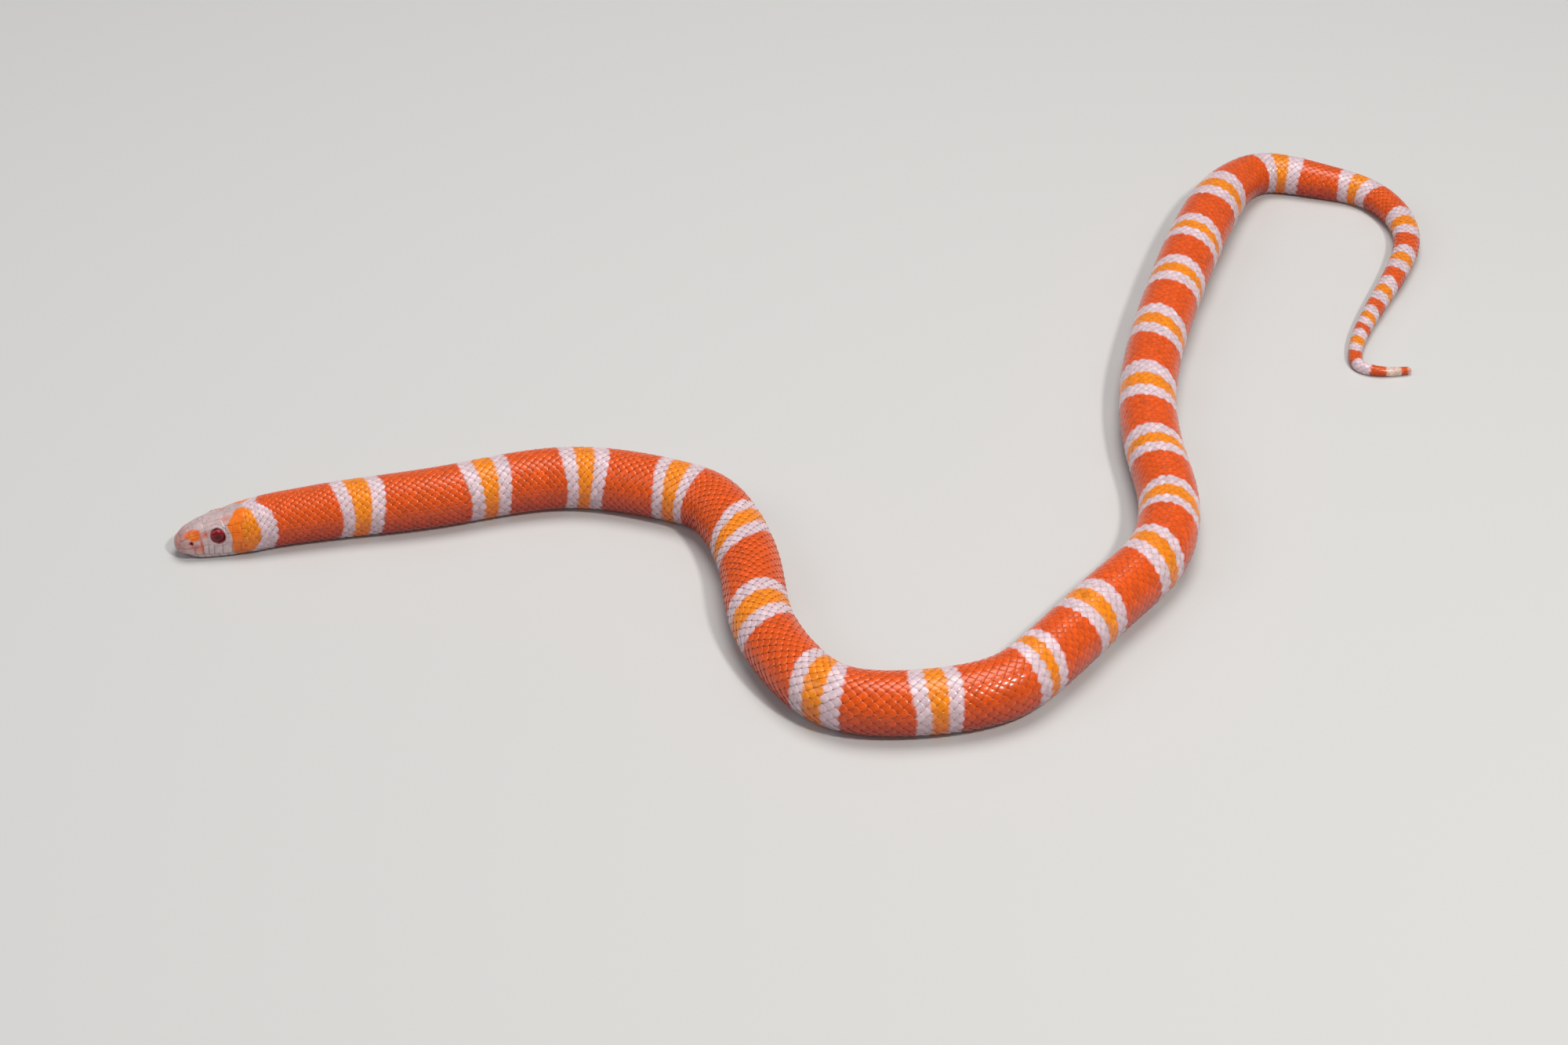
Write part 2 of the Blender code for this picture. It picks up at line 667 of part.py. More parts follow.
def cut(obj, cutter):
    """Takes the cutter away from the object and removes the cutter."""
    boolean = obj.modifiers.new("cut", "BOOLEAN")
    boolean.operation = "DIFFERENCE"
    boolean.solver = "EXACT"
    boolean.object = cutter
    bpy.context.view_layer.objects.active = obj
    bpy.ops.object.modifier_apply(modifier=boolean.name)
    bpy.data.objects.remove(cutter, do_unlink=True)


def nostril(spine, side_sign):
    """A small pit cutter whose rim stands clear of the snout."""
    total = spine.length
    skin = side_at_height(*section(NOSTRIL_AT, total), NOSTRIL_HEIGHT)
    side = side_sign * (skin - 0.5 * NOSTRIL_DEPTH + 0.5)
    _, outward = head_axes(spine, NOSTRIL_AT, side_sign)
    bpy.ops.mesh.primitive_cylinder_add(
        vertices=8, radius=NOSTRIL_RADIUS * MM, depth=(NOSTRIL_DEPTH + 1.0) * MM
    )
    obj = bpy.context.active_object
    obj.rotation_euler = (0.0, math.radians(90.0), math.atan2(outward[1], outward[0]))
    obj.location = head_point(spine, NOSTRIL_AT, side, NOSTRIL_HEIGHT)
    return obj


def make_head(spine):
    total = spine.length
    snout = [0.04, 0.25, 0.7, 1.4, 2.3]
    front = list(spaced(3.3, MOUTH_CORNER - 0.1, HEAD_RING_SPACING))
    rear = list(spaced(MOUTH_CORNER + 0.1, HEAD_END - 0.5 * JOINT_GAP, HEAD_RING_SPACING))
    stations = snout + front + rear
    rings = [whole_ring(cranium_ring(s, total)) for s in stations]
    cranium = loft("cranium", finish("head_plates", PALE, 0.3), spine, rings, stations)
    throat = belly_scutes(spine, MOUTH_CORNER + 0.3, HEAD_END, False)
    fuse(cranium, head_plates(spine) + throat)
    for side_sign in (1.0, -1.0):
        cut(cranium, ellipsoid("socket", spine, side_sign, SOCKET_GAP, 8, 14))
        cut(cranium, nostril(spine, side_sign))
    jaw_stations = [JAW_START + step for step in (0.03, 0.2, 0.6, 1.2)]
    jaw_stations += list(spaced(JAW_START + 2.0, MOUTH_CORNER - 0.1 - JOINT_GAP, 1.3))
    jaw_rings = [whole_ring(jaw_ring(s, total)) for s in jaw_stations]
    jaw = loft("lower_jaw", finish("jaw_skin", PALE, 0.35), spine, jaw_rings, jaw_stations)
    fuse(jaw, jaw_plates(spine))
    eyes = []
    for name, side_sign in (("eye_left", 1.0), ("eye_right", -1.0)):
        eye = ellipsoid(name, spine, side_sign, 0.0, 8, 16)
        eye.data.materials.append(finish(name + "_lens", EYE_RED, 0.05))
        eye.data.shade_smooth()
        eyes.append(eye)
    return [cranium, jaw] + eyes


def make_body(spine):
    pieces = [body_length("neck", spine, HEAD_END, NECK_END)]
    torso_ends = np.linspace(NECK_END, TORSO_END, TORSO_COUNT + 1)
    for k in range(TORSO_COUNT):
        name = f"torso_{k + 1}"
        pieces.append(body_length(name, spine, torso_ends[k], torso_ends[k + 1]))
    tail_ends = (TORSO_END,) + TAIL_ENDS
    for k in range(len(TAIL_ENDS)):
        name = f"tail_{k + 1}"
        pieces.append(body_length(name, spine, tail_ends[k], tail_ends[k + 1]))
    pieces.append(body_length("tail_tip", spine, TAIL_ENDS[-1], spine.length))
    return pieces


def main():
    clear_scene()
    spine = Backbone(ROUTE)
    snake = bpy.data.objects.new("milk_snake", None)
    bpy.context.scene.collection.objects.link(snake)
    for piece in make_head(spine) + make_body(spine):
        piece.parent = snake


main()
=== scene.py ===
import math

import bpy
import numpy as np
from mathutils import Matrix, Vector
from mathutils.kdtree import KDTree


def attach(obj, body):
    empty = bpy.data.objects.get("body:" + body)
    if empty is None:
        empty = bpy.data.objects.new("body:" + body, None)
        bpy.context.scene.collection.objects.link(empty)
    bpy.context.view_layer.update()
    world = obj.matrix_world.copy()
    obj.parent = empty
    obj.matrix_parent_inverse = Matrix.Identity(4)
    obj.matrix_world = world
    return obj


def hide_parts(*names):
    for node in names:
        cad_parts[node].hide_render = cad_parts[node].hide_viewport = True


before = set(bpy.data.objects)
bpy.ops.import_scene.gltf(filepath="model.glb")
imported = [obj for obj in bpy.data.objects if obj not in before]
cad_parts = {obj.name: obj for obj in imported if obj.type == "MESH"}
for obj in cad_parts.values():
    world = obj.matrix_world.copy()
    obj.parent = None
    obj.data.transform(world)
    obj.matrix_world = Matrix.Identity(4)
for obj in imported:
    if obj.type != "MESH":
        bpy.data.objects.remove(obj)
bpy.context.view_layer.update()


# The hide. A milk snake's skin is one closed sleeve over the body, smooth and thin. The
# big plates of the head are thickened parts of it, with fine seams between them, and
# behind them it is the bed that the scales grow from.
# Sizes are in millimetres, and MM turns them into metres.
MM = 0.001
# The backbone's route on the floor from the snout to the tail tip, as in the solids.
ROUTE = [
    (-178.2, -59.9), (-155.0, -53.3), (-132.2, -48.3), (-107.9, -43.2), (-76.0, -35.9),
    (-47.3, -41.9), (-36.1, -49.2), (-27.0, -73.5), (-23.6, -95.9), (-11.5, -119.0),
    (2.3, -126.4), (30.4, -123.4), (44.4, -113.5), (66.0, -86.6), (79.3, -68.8),
    (84.8, -46.7), (83.7, -22.9), (85.6, 9.2), (96.9, 52.0), (107.5, 82.6),
    (115.6, 102.9), (123.8, 118.5), (135.2, 128.1), (152.4, 124.9), (167.8, 117.3),
    (175.3, 99.2), (171.0, 79.2), (160.0, 57.3), (152.6, 42.4), (149.3, 33.3),
    (149.1, 25.6), (154.9, 22.9), (163.9, 23.9),
]
# Distance from the snout, width, height, height of the widest line as a share of the
# height, squareness, and how much narrower the crown is.
GIRTH = [
    (0.0, 8.0, 6.6, 0.40, 2.3, 0.05), (3.0, 8.8, 7.9, 0.36, 2.5, 0.10),
    (6.0, 10.1, 9.3, 0.32, 2.7, 0.16), (10.0, 11.4, 10.2, 0.30, 2.8, 0.18),
    (13.5, 12.9, 10.9, 0.34, 2.6, 0.14), (17.0, 14.0, 11.6, 0.38, 2.4, 0.09),
    (21.0, 14.5, 12.2, 0.43, 2.2, 0.04), (26.0, 14.6, 12.8, 0.46, 2.05, 0.0),
    (32.0, 14.8, 13.2, 0.46, 2.0, 0.0), (40.0, 15.2, 13.7, 0.46, 2.0, 0.0),
    (60.0, 15.9, 14.4, 0.46, 2.0, 0.0), (80.0, 16.2, 14.8, 0.46, 2.0, 0.0),
    (110.0, 16.7, 15.3, 0.46, 2.0, 0.0), (170.0, 16.1, 14.8, 0.46, 2.0, 0.0),
    (230.0, 15.9, 14.6, 0.46, 2.0, 0.0), (310.0, 16.5, 15.2, 0.46, 2.0, 0.0),
    (410.0, 15.8, 14.5, 0.46, 2.0, 0.0), (460.0, 16.3, 15.0, 0.46, 2.0, 0.0),
    (505.0, 16.9, 15.5, 0.46, 2.0, 0.0), (525.0, 16.2, 14.9, 0.46, 2.0, 0.0),
    (545.0, 13.6, 12.5, 0.46, 2.0, 0.0), (562.0, 12.1, 11.1, 0.46, 2.0, 0.0),
    (583.0, 9.8, 9.0, 0.46, 2.0, 0.0), (604.0, 8.4, 7.7, 0.46, 2.0, 0.0),
    (625.0, 7.4, 6.8, 0.46, 2.0, 0.0), (645.0, 6.3, 5.8, 0.46, 2.0, 0.0),
    (667.0, 5.0, 4.6, 0.46, 2.0, 0.0), (685.0, 3.7, 3.4, 0.46, 2.0, 0.0),
    (702.6, 2.3, 2.1, 0.46, 2.0, 0.0),
]
BELLY_SINK = 0.075
SNOUT_DOME = 3.5
# How far the blunt snout reaches ahead of the route, and over what length that fades out.
SNOUT_REACH = 1.1
SNOUT_REACH_FADE = 5.0
TAIL_DOME = 1.4
SNOUT_TIP_HEIGHT = 3.6
HEAD_END = 25.0


def natural_spline(stations, values, where):
    """Values of the natural cubic spline through (stations, values) at the places where."""
    spans = np.diff(stations)
    count = len(stations)
    matrix = np.zeros((count, count))
    right = np.zeros_like(values)
    matrix[0, 0] = matrix[-1, -1] = 1.0
    for i in range(1, count - 1):
        matrix[i, i - 1 : i + 2] = spans[i - 1], 2 * (spans[i - 1] + spans[i]), spans[i]
        rise = (values[i + 1] - values[i]) / spans[i]
        right[i] = 6 * (rise - (values[i] - values[i - 1]) / spans[i - 1])
    bend = np.linalg.solve(matrix, right)
    cell = np.clip(np.searchsorted(stations, where, side="right") - 1, 0, count - 2)
    span = spans[cell][:, None]
    ahead = (stations[cell + 1] - where)[:, None]
    behind = (where - stations[cell])[:, None]
    curve = (bend[cell] * ahead**3 + bend[cell + 1] * behind**3) / (6 * span)
    line = (values[cell] / span - bend[cell] * span / 6) * ahead
    return curve + line + (values[cell + 1] / span - bend[cell + 1] * span / 6) * behind


def smooth_table(rows, where):
    """Columns of a station table read at the places where, with soft turns between rows."""
    rows = np.asarray(rows, float)
    where = np.asarray(where, float)
    stations, values = rows[:, 0], rows[:, 1:]
    slopes = np.gradient(values, stations, axis=0)
    cell = np.clip(np.searchsorted(stations, where, side="right") - 1, 0, len(rows) - 2)
    span = (stations[cell + 1] - stations[cell])[..., None]
    u = (where - stations[cell])[..., None] / span
    start, end = values[cell], values[cell + 1]
    hermite = (2 * u**3 - 3 * u**2 + 1) * start + (3 * u**2 - 2 * u**3) * end
    turns = (u**3 - 2 * u**2 + u) * slopes[cell] + (u**3 - u**2) * slopes[cell + 1]
    return np.moveaxis(hermite + span * turns, -1, 0)


route = np.array(ROUTE)
route_steps = np.sqrt(np.linalg.norm(np.diff(route, axis=0), axis=1))
route_knots = np.concatenate([[0.0], np.cumsum(route_steps)])
spine = natural_spline(route_knots, route, np.linspace(0.0, route_knots[-1], 8001))
spine_steps = np.linalg.norm(np.diff(spine, axis=0), axis=1)
spine_along = np.concatenate([[0.0], np.cumsum(spine_steps)])
spine_heading = np.gradient(spine, spine_along, axis=0)
SNAKE_LENGTH = spine_along[-1]


def spine_place(s):
    """The spine's point on the floor and the direction to the snake's left."""
    x, y = (np.interp(s, spine_along, spine[:, k]) for k in (0, 1))
    back_x, back_y = (np.interp(s, spine_along, spine_heading[:, k]) for k in (0, 1))
    size = np.hypot(back_x, back_y)
    reach = SNOUT_REACH * np.maximum(0.0, 1.0 - s / SNOUT_REACH_FADE) ** 2 / size
    return x - reach * back_x, y - reach * back_y, back_y / size, -back_x / size


def dome(distance, length):
    return np.sqrt(1.0 - np.clip(1.0 - distance / length, 0.0, 1.0) ** 2)


def section(s):
    """Half width, top, height of the widest line, underside, squareness and lean."""
    width, height, widest, square, lean = smooth_table(GIRTH, s)
    tip = np.minimum(dome(s, SNOUT_DOME), dome(SNAKE_LENGTH - s, TAIL_DOME))
    middle = np.where(s < HEAD_END, SNOUT_TIP_HEIGHT, 0.5 * height)
    top = middle + (height - middle) * tip
    line = middle + (widest * height - middle) * tip
    under = middle - (BELLY_SINK * height + middle) * tip
    return 0.5 * width * tip, top, line, under, square, lean


def side_and_height(s, angle):
    """A point of the section: how far to the side and how high. The angle runs down from
    the crown, in degrees, and is negative on the right."""
    half, top, line, under, square, lean = section(s)
    turn = np.radians(np.minimum(np.abs(angle), 180.0))
    power = 2.0 / square
    side = half * np.clip(np.sin(turn), 0.0, 1.0) ** power
    lift = np.abs(np.cos(turn)) ** power
    above = np.abs(angle) <= 90.0
    side = np.where(above, side * (1.0 - lean * lift), side)
    up = np.where(above, line + (top - line) * lift, line - (line - under) * lift)
    return side * np.sign(angle), up


def on_body(s, angle):
    """Points of the bare body in millimetres."""
    s = np.clip(s, 0.003, SNAKE_LENGTH - 0.003)
    angle = (np.asarray(angle, float) + 180.0) % 360.0 - 180.0
    side, up = side_and_height(s, angle)
    x, y, left_x, left_y = spine_place(s)
    return np.stack([x + side * left_x, y + side * left_y, up], -1)


def off_body(s, angle, height):
    """Points at a height off the body, along its normal."""
    along = on_body(s + 0.2, angle) - on_body(s - 0.2, angle)
    across = on_body(s, angle + 1.0) - on_body(s, angle - 1.0)
    normal = np.cross(across, along)
    normal /= np.maximum(np.linalg.norm(normal, axis=-1, keepdims=True), 1e-9)
    return on_body(s, angle) + normal * np.asarray(height, float)[..., None]


def ease(value):
    """A soft step from 0 to 1."""
    value = np.clip(value, 0.0, 1.0)
    return value * value * (3.0 - 2.0 * value)


MOUTH_LINE = [(0, 2.8), (4, 2.4), (10, 2.1), (14, 2.4), (19, 3.6), (25, 4.0)]
MOUTH_CORNER = 19.0
JAW_START = 1.0
JAW_DOME = 4.6
JAW_INSET = 0.25
LIP_GAP_TURN = 2.0
LIP_FOLD = (0.28, 0.5, 0.34)
SKIN_FLOOR = 0.12
# Half a ring of the head: points from the crown to the lip, in the fold of the mouth, and
# from the lower lip to the middle of the throat.
UPPER_COUNT = 81
FOLD_COUNT = 3
LOWER_COUNT = 37
HEAD_STATIONS = np.concatenate([(0.02, 0.08, 0.18, 0.32, 0.5), np.arange(0.68, 26.0, 0.165)])
BODY_STEP = 1.0
BODY_EVERY = 5


def lip_turn(s):
    """The angle of the upper lip's edge."""
    lip = smooth_table(MOUTH_LINE, np.minimum(s, MOUTH_LINE[-1][0]))[0]
    _, _, line, under, square, _ = section(s)
    drop = np.clip((line - lip) / np.maximum(line - under, 1e-6), 0.0, 0.9985)
    return 90.0 + np.degrees(np.arcsin(drop ** (0.5 * square)))


def soft_floor(up, low, soft):
    """Heights that bend round into a flat at the height low."""
    return low + 0.5 * (up - low + np.sqrt((up - low) ** 2 + soft**2))


def head_half(s):
    """Angles and points of the left half of one ring of the head."""
    lip = float(lip_turn(s))
    low = min(lip + LIP_GAP_TURN, 178.5)
    angles = np.concatenate([
        np.linspace(0.0, lip, UPPER_COUNT),
        np.linspace(lip, low, FOLD_COUNT + 2)[1:-1],
        np.linspace(low, 180.0, LOWER_COUNT),
    ])
    side, up = side_and_height(np.full_like(angles, s), angles)
    mouth = 1.0 - ease((s - MOUTH_CORNER + 1.6) / 1.8)
    lips_up = up[UPPER_COUNT - 1]
    lips_side = side[UPPER_COUNT - 1]
    # The lips turn in at the edge, and the skin between them folds in.
    near = np.exp(-np.abs(up - lips_up) / 0.16) * 0.16 * mouth
    side = np.maximum(side - near, 0.0)
    side[UPPER_COUNT : UPPER_COUNT + FOLD_COUNT] -= np.array(LIP_FOLD) * mouth
    side = np.maximum(side, 0.0)
    jaw = slice(UPPER_COUNT + 2, None)
    share = np.linspace(0.0, 1.0, LOWER_COUNT + 1)
    opened = float(dome(s - JAW_START, JAW_DOME)) if s > JAW_START else 0.0
    palate = (1.0 - share) * (0.03 + 0.8 * lips_side * math.sqrt(max(0.0, 1.0 - s / JAW_START)))
    side[jaw] = np.maximum((side[jaw] - JAW_INSET * mouth) * opened, palate)
    hang = (0.2 + 0.8 * opened) * float(ease((s - 0.6) / 0.4))
    up[jaw] = lips_up - (lips_up - up[jaw]) * hang
    if s < MOUTH_CORNER:
        up[jaw] = np.minimum(up[jaw], up[UPPER_COUNT])
    return angles, side, soft_floor(up, SKIN_FLOOR, 0.5)


def both_sides(half, sign=1.0):
    """A whole ring from its left half, round from the crown by the left."""
    return np.concatenate([half, sign * half[-2:0:-1]])


head_angles, head_grid = [], []
for s in HEAD_STATIONS:
    angles, side, up = head_half(float(s))
    x, y, left_x, left_y = spine_place(s)
    ring_side = both_sides(side, -1.0)
    head_angles.append(both_sides(angles, -1.0))
    head_grid.append(np.stack([x + ring_side * left_x, y + ring_side * left_y, both_sides(up)], -1))
head_angles = np.array(head_angles)
head_grid = np.array(head_grid)
HALF_COUNT = UPPER_COUNT + FOLD_COUNT + LOWER_COUNT


def on_head(s, angle):
    """A point of the head's smooth skin, the mouth and jaw included."""
    ring = float(np.interp(s, HEAD_STATIONS, np.arange(len(HEAD_STATIONS))))
    low = min(int(ring), len(HEAD_STATIONS) - 2)
    found = []
    for row in (low, low + 1):
        place = np.interp(abs(angle), head_angles[row][:HALF_COUNT], np.arange(HALF_COUNT))
        first = min(int(place), HALF_COUNT - 2)
        columns = np.array([first, first + 1])
        if angle < 0:
            columns = (-columns) % head_grid.shape[1]
        a, b = head_grid[row][columns]
        found.append(a + (b - a) * (place - first))
    return found[0] + (found[1] - found[0]) * (ring - low)


# Seams between the plates of the head's left side, from the snout back: runs of points,
# each a distance from the snout and an angle down from the crown.
CROWN_SEAMS = [
    [(1.4, 0), (1.25, 28), (1.1, 50), (0.85, 75), (0.62, 92)],
    [(1.4, 0), (3.3, 0), (7.1, 0)],
    [(3.3, 0), (3.45, 20), (3.3, 42)],
    [(1.15, 46), (2.2, 45), (3.3, 43), (4.6, 46), (5.9, 48), (7.3, 44)],
    [(7.1, 0), (7.0, 9), (7.0, 17), (7.15, 30), (7.3, 44)],
    [(7.0, 17), (8.6, 14.5), (10.6, 14.5), (11.9, 15), (12.6, 8), (13.1, 0)],
    [(11.9, 15), (12.3, 27), (12.6, 40)],
    [(13.1, 0), (16.0, 0), (18.9, 0)],
    [(12.6, 40), (14.0, 43), (16.9, 42), (18.4, 38)],
    [(18.4, 38), (19.1, 22), (19.3, 10), (18.9, 0)],
    [(3.5, 43), (3.5, 80)],
    [(5.8, 48), (5.85, 63), (5.75, 80)],
    [(7.3, 44), (7.55, 60), (7.6, 78)],
    [(12.6, 40), (12.5, 62), (12.3, 81)],
    [(12.5, 61), (14.3, 61), (15.6, 63), (16.6, 64)],
    [(14.5, 43), (14.5, 52), (14.2, 62), (14.0, 72), (14.2, 82)],
    [(18.4, 38), (17.2, 41), (16.5, 48), (16.7, 56), (16.6, 64), (16.4, 74), (16.7, 84)],
    [(0.85, 78), (3.5, 80), (5.75, 80), (7.6, 79), (8.5, 80)],
    [(12.1, 80), (14.1, 82), (16.7, 85), (17.6, 92)],
]
EYE_AT = 10.4
EYE_HEIGHT = 7.0
EYE_RADIUS = 1.95
EYE_BULGE = 1.15
EYE_DEPTH = 0.5
NOSTRIL = (3.4, 66.0)
NOSTRIL_RADIUS = 0.6
UPPER_LIP_SEAMS = (4.0, 6.1, 7.5, 8.9, 11.1, 13.5, 15.9, 17.8)
LOWER_LIP_SEAMS = (2.4, 4.3, 6.1, 7.9, 9.9, 12.2, 14.6, 17.2)
# Seams of the jaw: the angle is given as a share of the way from lip to throat.
JAW_SEAMS = [
    [(1.6, 0.0), (2.2, 0.3), (2.6, 0.75), (2.7, 1.0)],
    [(2.3, 0.36), (6.9, 0.42), (12.2, 0.42), (17.4, 0.4), (19.5, 0.3)],
    [(2.7, 1.0), (6.9, 1.0), (11.2, 1.0)],
    [(2.6, 0.75), (3.4, 0.52), (6.9, 0.56), (7.2, 0.8), (7.0, 1.0)],
    [(7.2, 0.62), (11.0, 0.7), (11.4, 0.85), (11.2, 1.0)],
]
GULAR_PITCH = 1.5


def jaw_angle(s, share):
    low = float(lip_turn(s)) + LIP_GAP_TURN
    return low + (180.0 - low) * share


def seam_points(run):
    """Points close together along a run, on the head's skin."""
    run = np.array(run, float)
    ends = [on_head(*point) for point in run]
    found = []
    for start, end, a, b in zip(run, run[1:], ends, ends[1:]):
        count = max(2, int(np.linalg.norm(b - a) / 0.05))
        found += [on_head(*(start + (end - start) * u)) for u in np.linspace(0, 1, count)]
    return found


seams = [list(run) for run in CROWN_SEAMS]
lip_seams = []
for s in UPPER_LIP_SEAMS:
    top = 80.0 + max(0.0, s - 10.0) * 0.7
    if EYE_AT - 1.6 < s < EYE_AT + 1.6:
        top = 82.0
    lip_seams.append([(s + 0.15, top), (s - 0.15, float(lip_turn(s)) - 0.3)])
for s in LOWER_LIP_SEAMS:
    seams.append([(s, jaw_angle(s, 0.01)), (s + 0.3, jaw_angle(s + 0.3, 0.4))])
for run in JAW_SEAMS:
    seams.append([(s, jaw_angle(s, share)) for s, share in run])
for k in range(-4, 16):
    # The throat's small scales are a lattice of slanting seams.
    for slant in (1.0, -1.0):
        run = []
        for share in np.linspace(0.45, 1.0, 6):
            s = 7.5 + k * GULAR_PITCH + slant * (share - 0.45) * 6.0
            if s > 7.4 + 7.0 * max(0.0, (share - 0.6)) and s < 25.5:
                run.append((s, jaw_angle(s, share)))
        if len(run) > 1:
            seams.append(run)


def both_seams(runs):
    """Points along the runs on the left side and on the right."""
    found = []
    for run in runs:
        found += seam_points(run) + seam_points([(s, -angle) for s, angle in run])
    return found


def distances(points, targets):
    """How far each point is from the nearest of the targets."""
    tree = KDTree(len(targets))
    for k, target in enumerate(targets):
        tree.insert(target, k)
    tree.balance()
    return np.array([tree.find(point)[2] for point in points])


def eye_frame(sign):
    """The eye's centre under the skin, the direction outwards, and the one to the tail."""
    x, y, left_x, left_y = (float(v) for v in spine_place(EYE_AT))
    _, _, line, under, square, lean = (float(v) for v in section(np.array(EYE_AT)))
    half, top = (float(v) for v in section(np.array(EYE_AT))[:2])
    share = abs(EYE_HEIGHT - line) / (top - line)
    skin = half * (1.0 - share**square) ** (1.0 / square) * (1.0 - lean * share)
    out = np.array([left_x, left_y, 0.0]) * sign
    back = np.array([-left_y, left_x, 0.0])
    centre = np.array([x, y, EYE_HEIGHT]) + out * (skin - EYE_DEPTH)
    return centre, out, back


head_flat = head_grid.reshape(-1, 3)
lip_gap = distances(head_flat, both_seams(lip_seams))
seam_gap = np.minimum(lip_gap, distances(head_flat, both_seams(seams)))
along_head = np.repeat(HEAD_STATIONS, head_grid.shape[1])
around_head = head_angles.reshape(-1)
# Where the plates end and the scales begin, at this angle.
COAT_TURNS = (0, 38, 48, 90, 112, 130)
COAT_STARTS = (18.9, 18.5, 17.3, 17.3, 18.0, 20.0)
PLATES_BEFORE_COAT, PLATES_FADE = 0.75, 0.6
plates_end = np.interp(np.abs(around_head), COAT_TURNS, COAT_STARTS) - PLATES_BEFORE_COAT
on_plates = 1.0 - ease((along_head - plates_end) / PLATES_FADE)
PLATE_RISE = 0.14
SEAM_WIDTH = 0.2
# Plates also swell towards their middles, and a fine groove runs in each seam.
PLATE_SWELL, SWELL_REACH = 0.07, 1.3
GROOVE_DEPTH, GROOVE_REACH = 0.05, 0.1
JAW_RELIEF, JAW_SINK = 0.85, 0.04
BED_SINK = 0.3
relief = PLATE_RISE * ease(seam_gap / SEAM_WIDTH) + PLATE_SWELL * ease(seam_gap / SWELL_REACH)
relief -= GROOVE_DEPTH * (1.0 - ease(seam_gap / GROOVE_REACH))
is_jaw = np.abs(around_head) > np.repeat(lip_turn(HEAD_STATIONS), head_grid.shape[1]) + 1.0
relief = np.where(is_jaw, relief * JAW_RELIEF - JAW_SINK, relief)
relief = relief * on_plates - BED_SINK * (1.0 - on_plates)
# Nothing stands out at the very tip or within the fold of the mouth.
relief *= ease(along_head / 0.5)
columns = np.tile(np.arange(head_grid.shape[1]), len(HEAD_STATIONS))
from_crown = np.minimum(columns, head_grid.shape[1] - columns)
in_fold = (from_crown >= UPPER_COUNT) & (from_crown < UPPER_COUNT + FOLD_COUNT)
in_fold &= along_head < MOUTH_CORNER - 0.5
relief[in_fold] = 0.0

eye_gap = np.full(len(head_flat), 99.0)
nostril_gap = np.full(len(head_flat), 99.0)
for sign in (1.0, -1.0):
    centre, out, back = eye_frame(sign)
    offset = head_flat - centre
    outward = offset @ out
    ring = np.linalg.norm(offset - outward[:, None] * out, axis=1)
    eye_gap = np.where(outward > -1.5, np.minimum(eye_gap, ring), eye_gap)
    pit = np.linalg.norm(head_flat - on_head(NOSTRIL[0], sign * NOSTRIL[1]), axis=1)
    nostril_gap = np.minimum(nostril_gap, pit)
def ridge(gap, middle, width):
    """A rounded ridge, 1 at its middle."""
    return np.exp(-(((gap - middle) / width) ** 2))


# A low ring of small scales round the eye, with a groove outside it, and the socket.
RING_WIDTH, RING_RISE, RING_EDGE = 0.62, 0.10, 0.3
SOCKET_DEPTH, SOCKET_INSET, SOCKET_SLOPE = 1.0, 0.45, 0.4
ring_shape = RING_RISE * ease((eye_gap - EYE_RADIUS) / RING_EDGE)
relief = np.where(eye_gap < EYE_RADIUS + RING_WIDTH, ring_shape, relief)
relief -= 0.16 * ridge(eye_gap, EYE_RADIUS + 0.66, 0.12)
relief += 0.05 * ridge(eye_gap, EYE_RADIUS + 0.32, 0.16)
relief -= SOCKET_DEPTH * (1.0 - ease((eye_gap - EYE_RADIUS + SOCKET_INSET) / SOCKET_SLOPE))
# The brow plate juts out a little over the eye.
BROW_RISE, BROW_TURN, BROW_SPREAD, BROW_LENGTH = 0.45, 41.0, 6.0, 1.9
brow = ridge(np.abs(around_head), BROW_TURN, BROW_SPREAD) * ease((eye_gap - 1.75) / 0.3)
relief += BROW_RISE * brow * ridge(along_head, EYE_AT, BROW_LENGTH)
# The nostril is a pit with a soft rim between the two nasal plates.
NOSTRIL_DEPTH, NOSTRIL_FLOOR = 0.62, 0.18
relief += 0.10 * ridge(nostril_gap, 0.62, 0.2)
relief -= NOSTRIL_DEPTH * (1.0 - ease((nostril_gap - NOSTRIL_FLOOR) / (NOSTRIL_RADIUS - 0.1)))


def grid_normals(grid):
    """Outward normals of a closed tube's points."""
    along = np.gradient(grid, axis=0)
    across = np.roll(grid, -1, axis=1) - np.roll(grid, 1, axis=1)
    normal = np.cross(across, along)
    return normal / np.maximum(np.linalg.norm(normal, axis=-1, keepdims=True), 1e-9)


head_normals = grid_normals(head_grid).reshape(-1, 3)
head_skin = head_flat + head_normals * relief[:, None]
head_skin[:, 2] = np.maximum(head_skin[:, 2], 0.02)

body_stations = np.arange(26.0 + 0.9, SNAKE_LENGTH - 0.9, BODY_STEP)
tail_stations = SNAKE_LENGTH - np.array([0.9, 0.6, 0.35, 0.18, 0.08, 0.02])
body_stations = np.concatenate([body_stations, tail_stations])
body_columns = head_angles[-1][::BODY_EVERY]
body_s = np.repeat(body_stations, len(body_columns))
body_a = np.tile(body_columns, len(body_stations))
girth_share = np.clip(section(body_s)[0] / 7.5, 0.0, 1.0)
body_skin = off_body(body_s, body_a, -BED_SINK * girth_share)
body_skin[:, 2] = soft_floor(body_skin[:, 2], 0.34 * girth_share, 0.4 * girth_share)

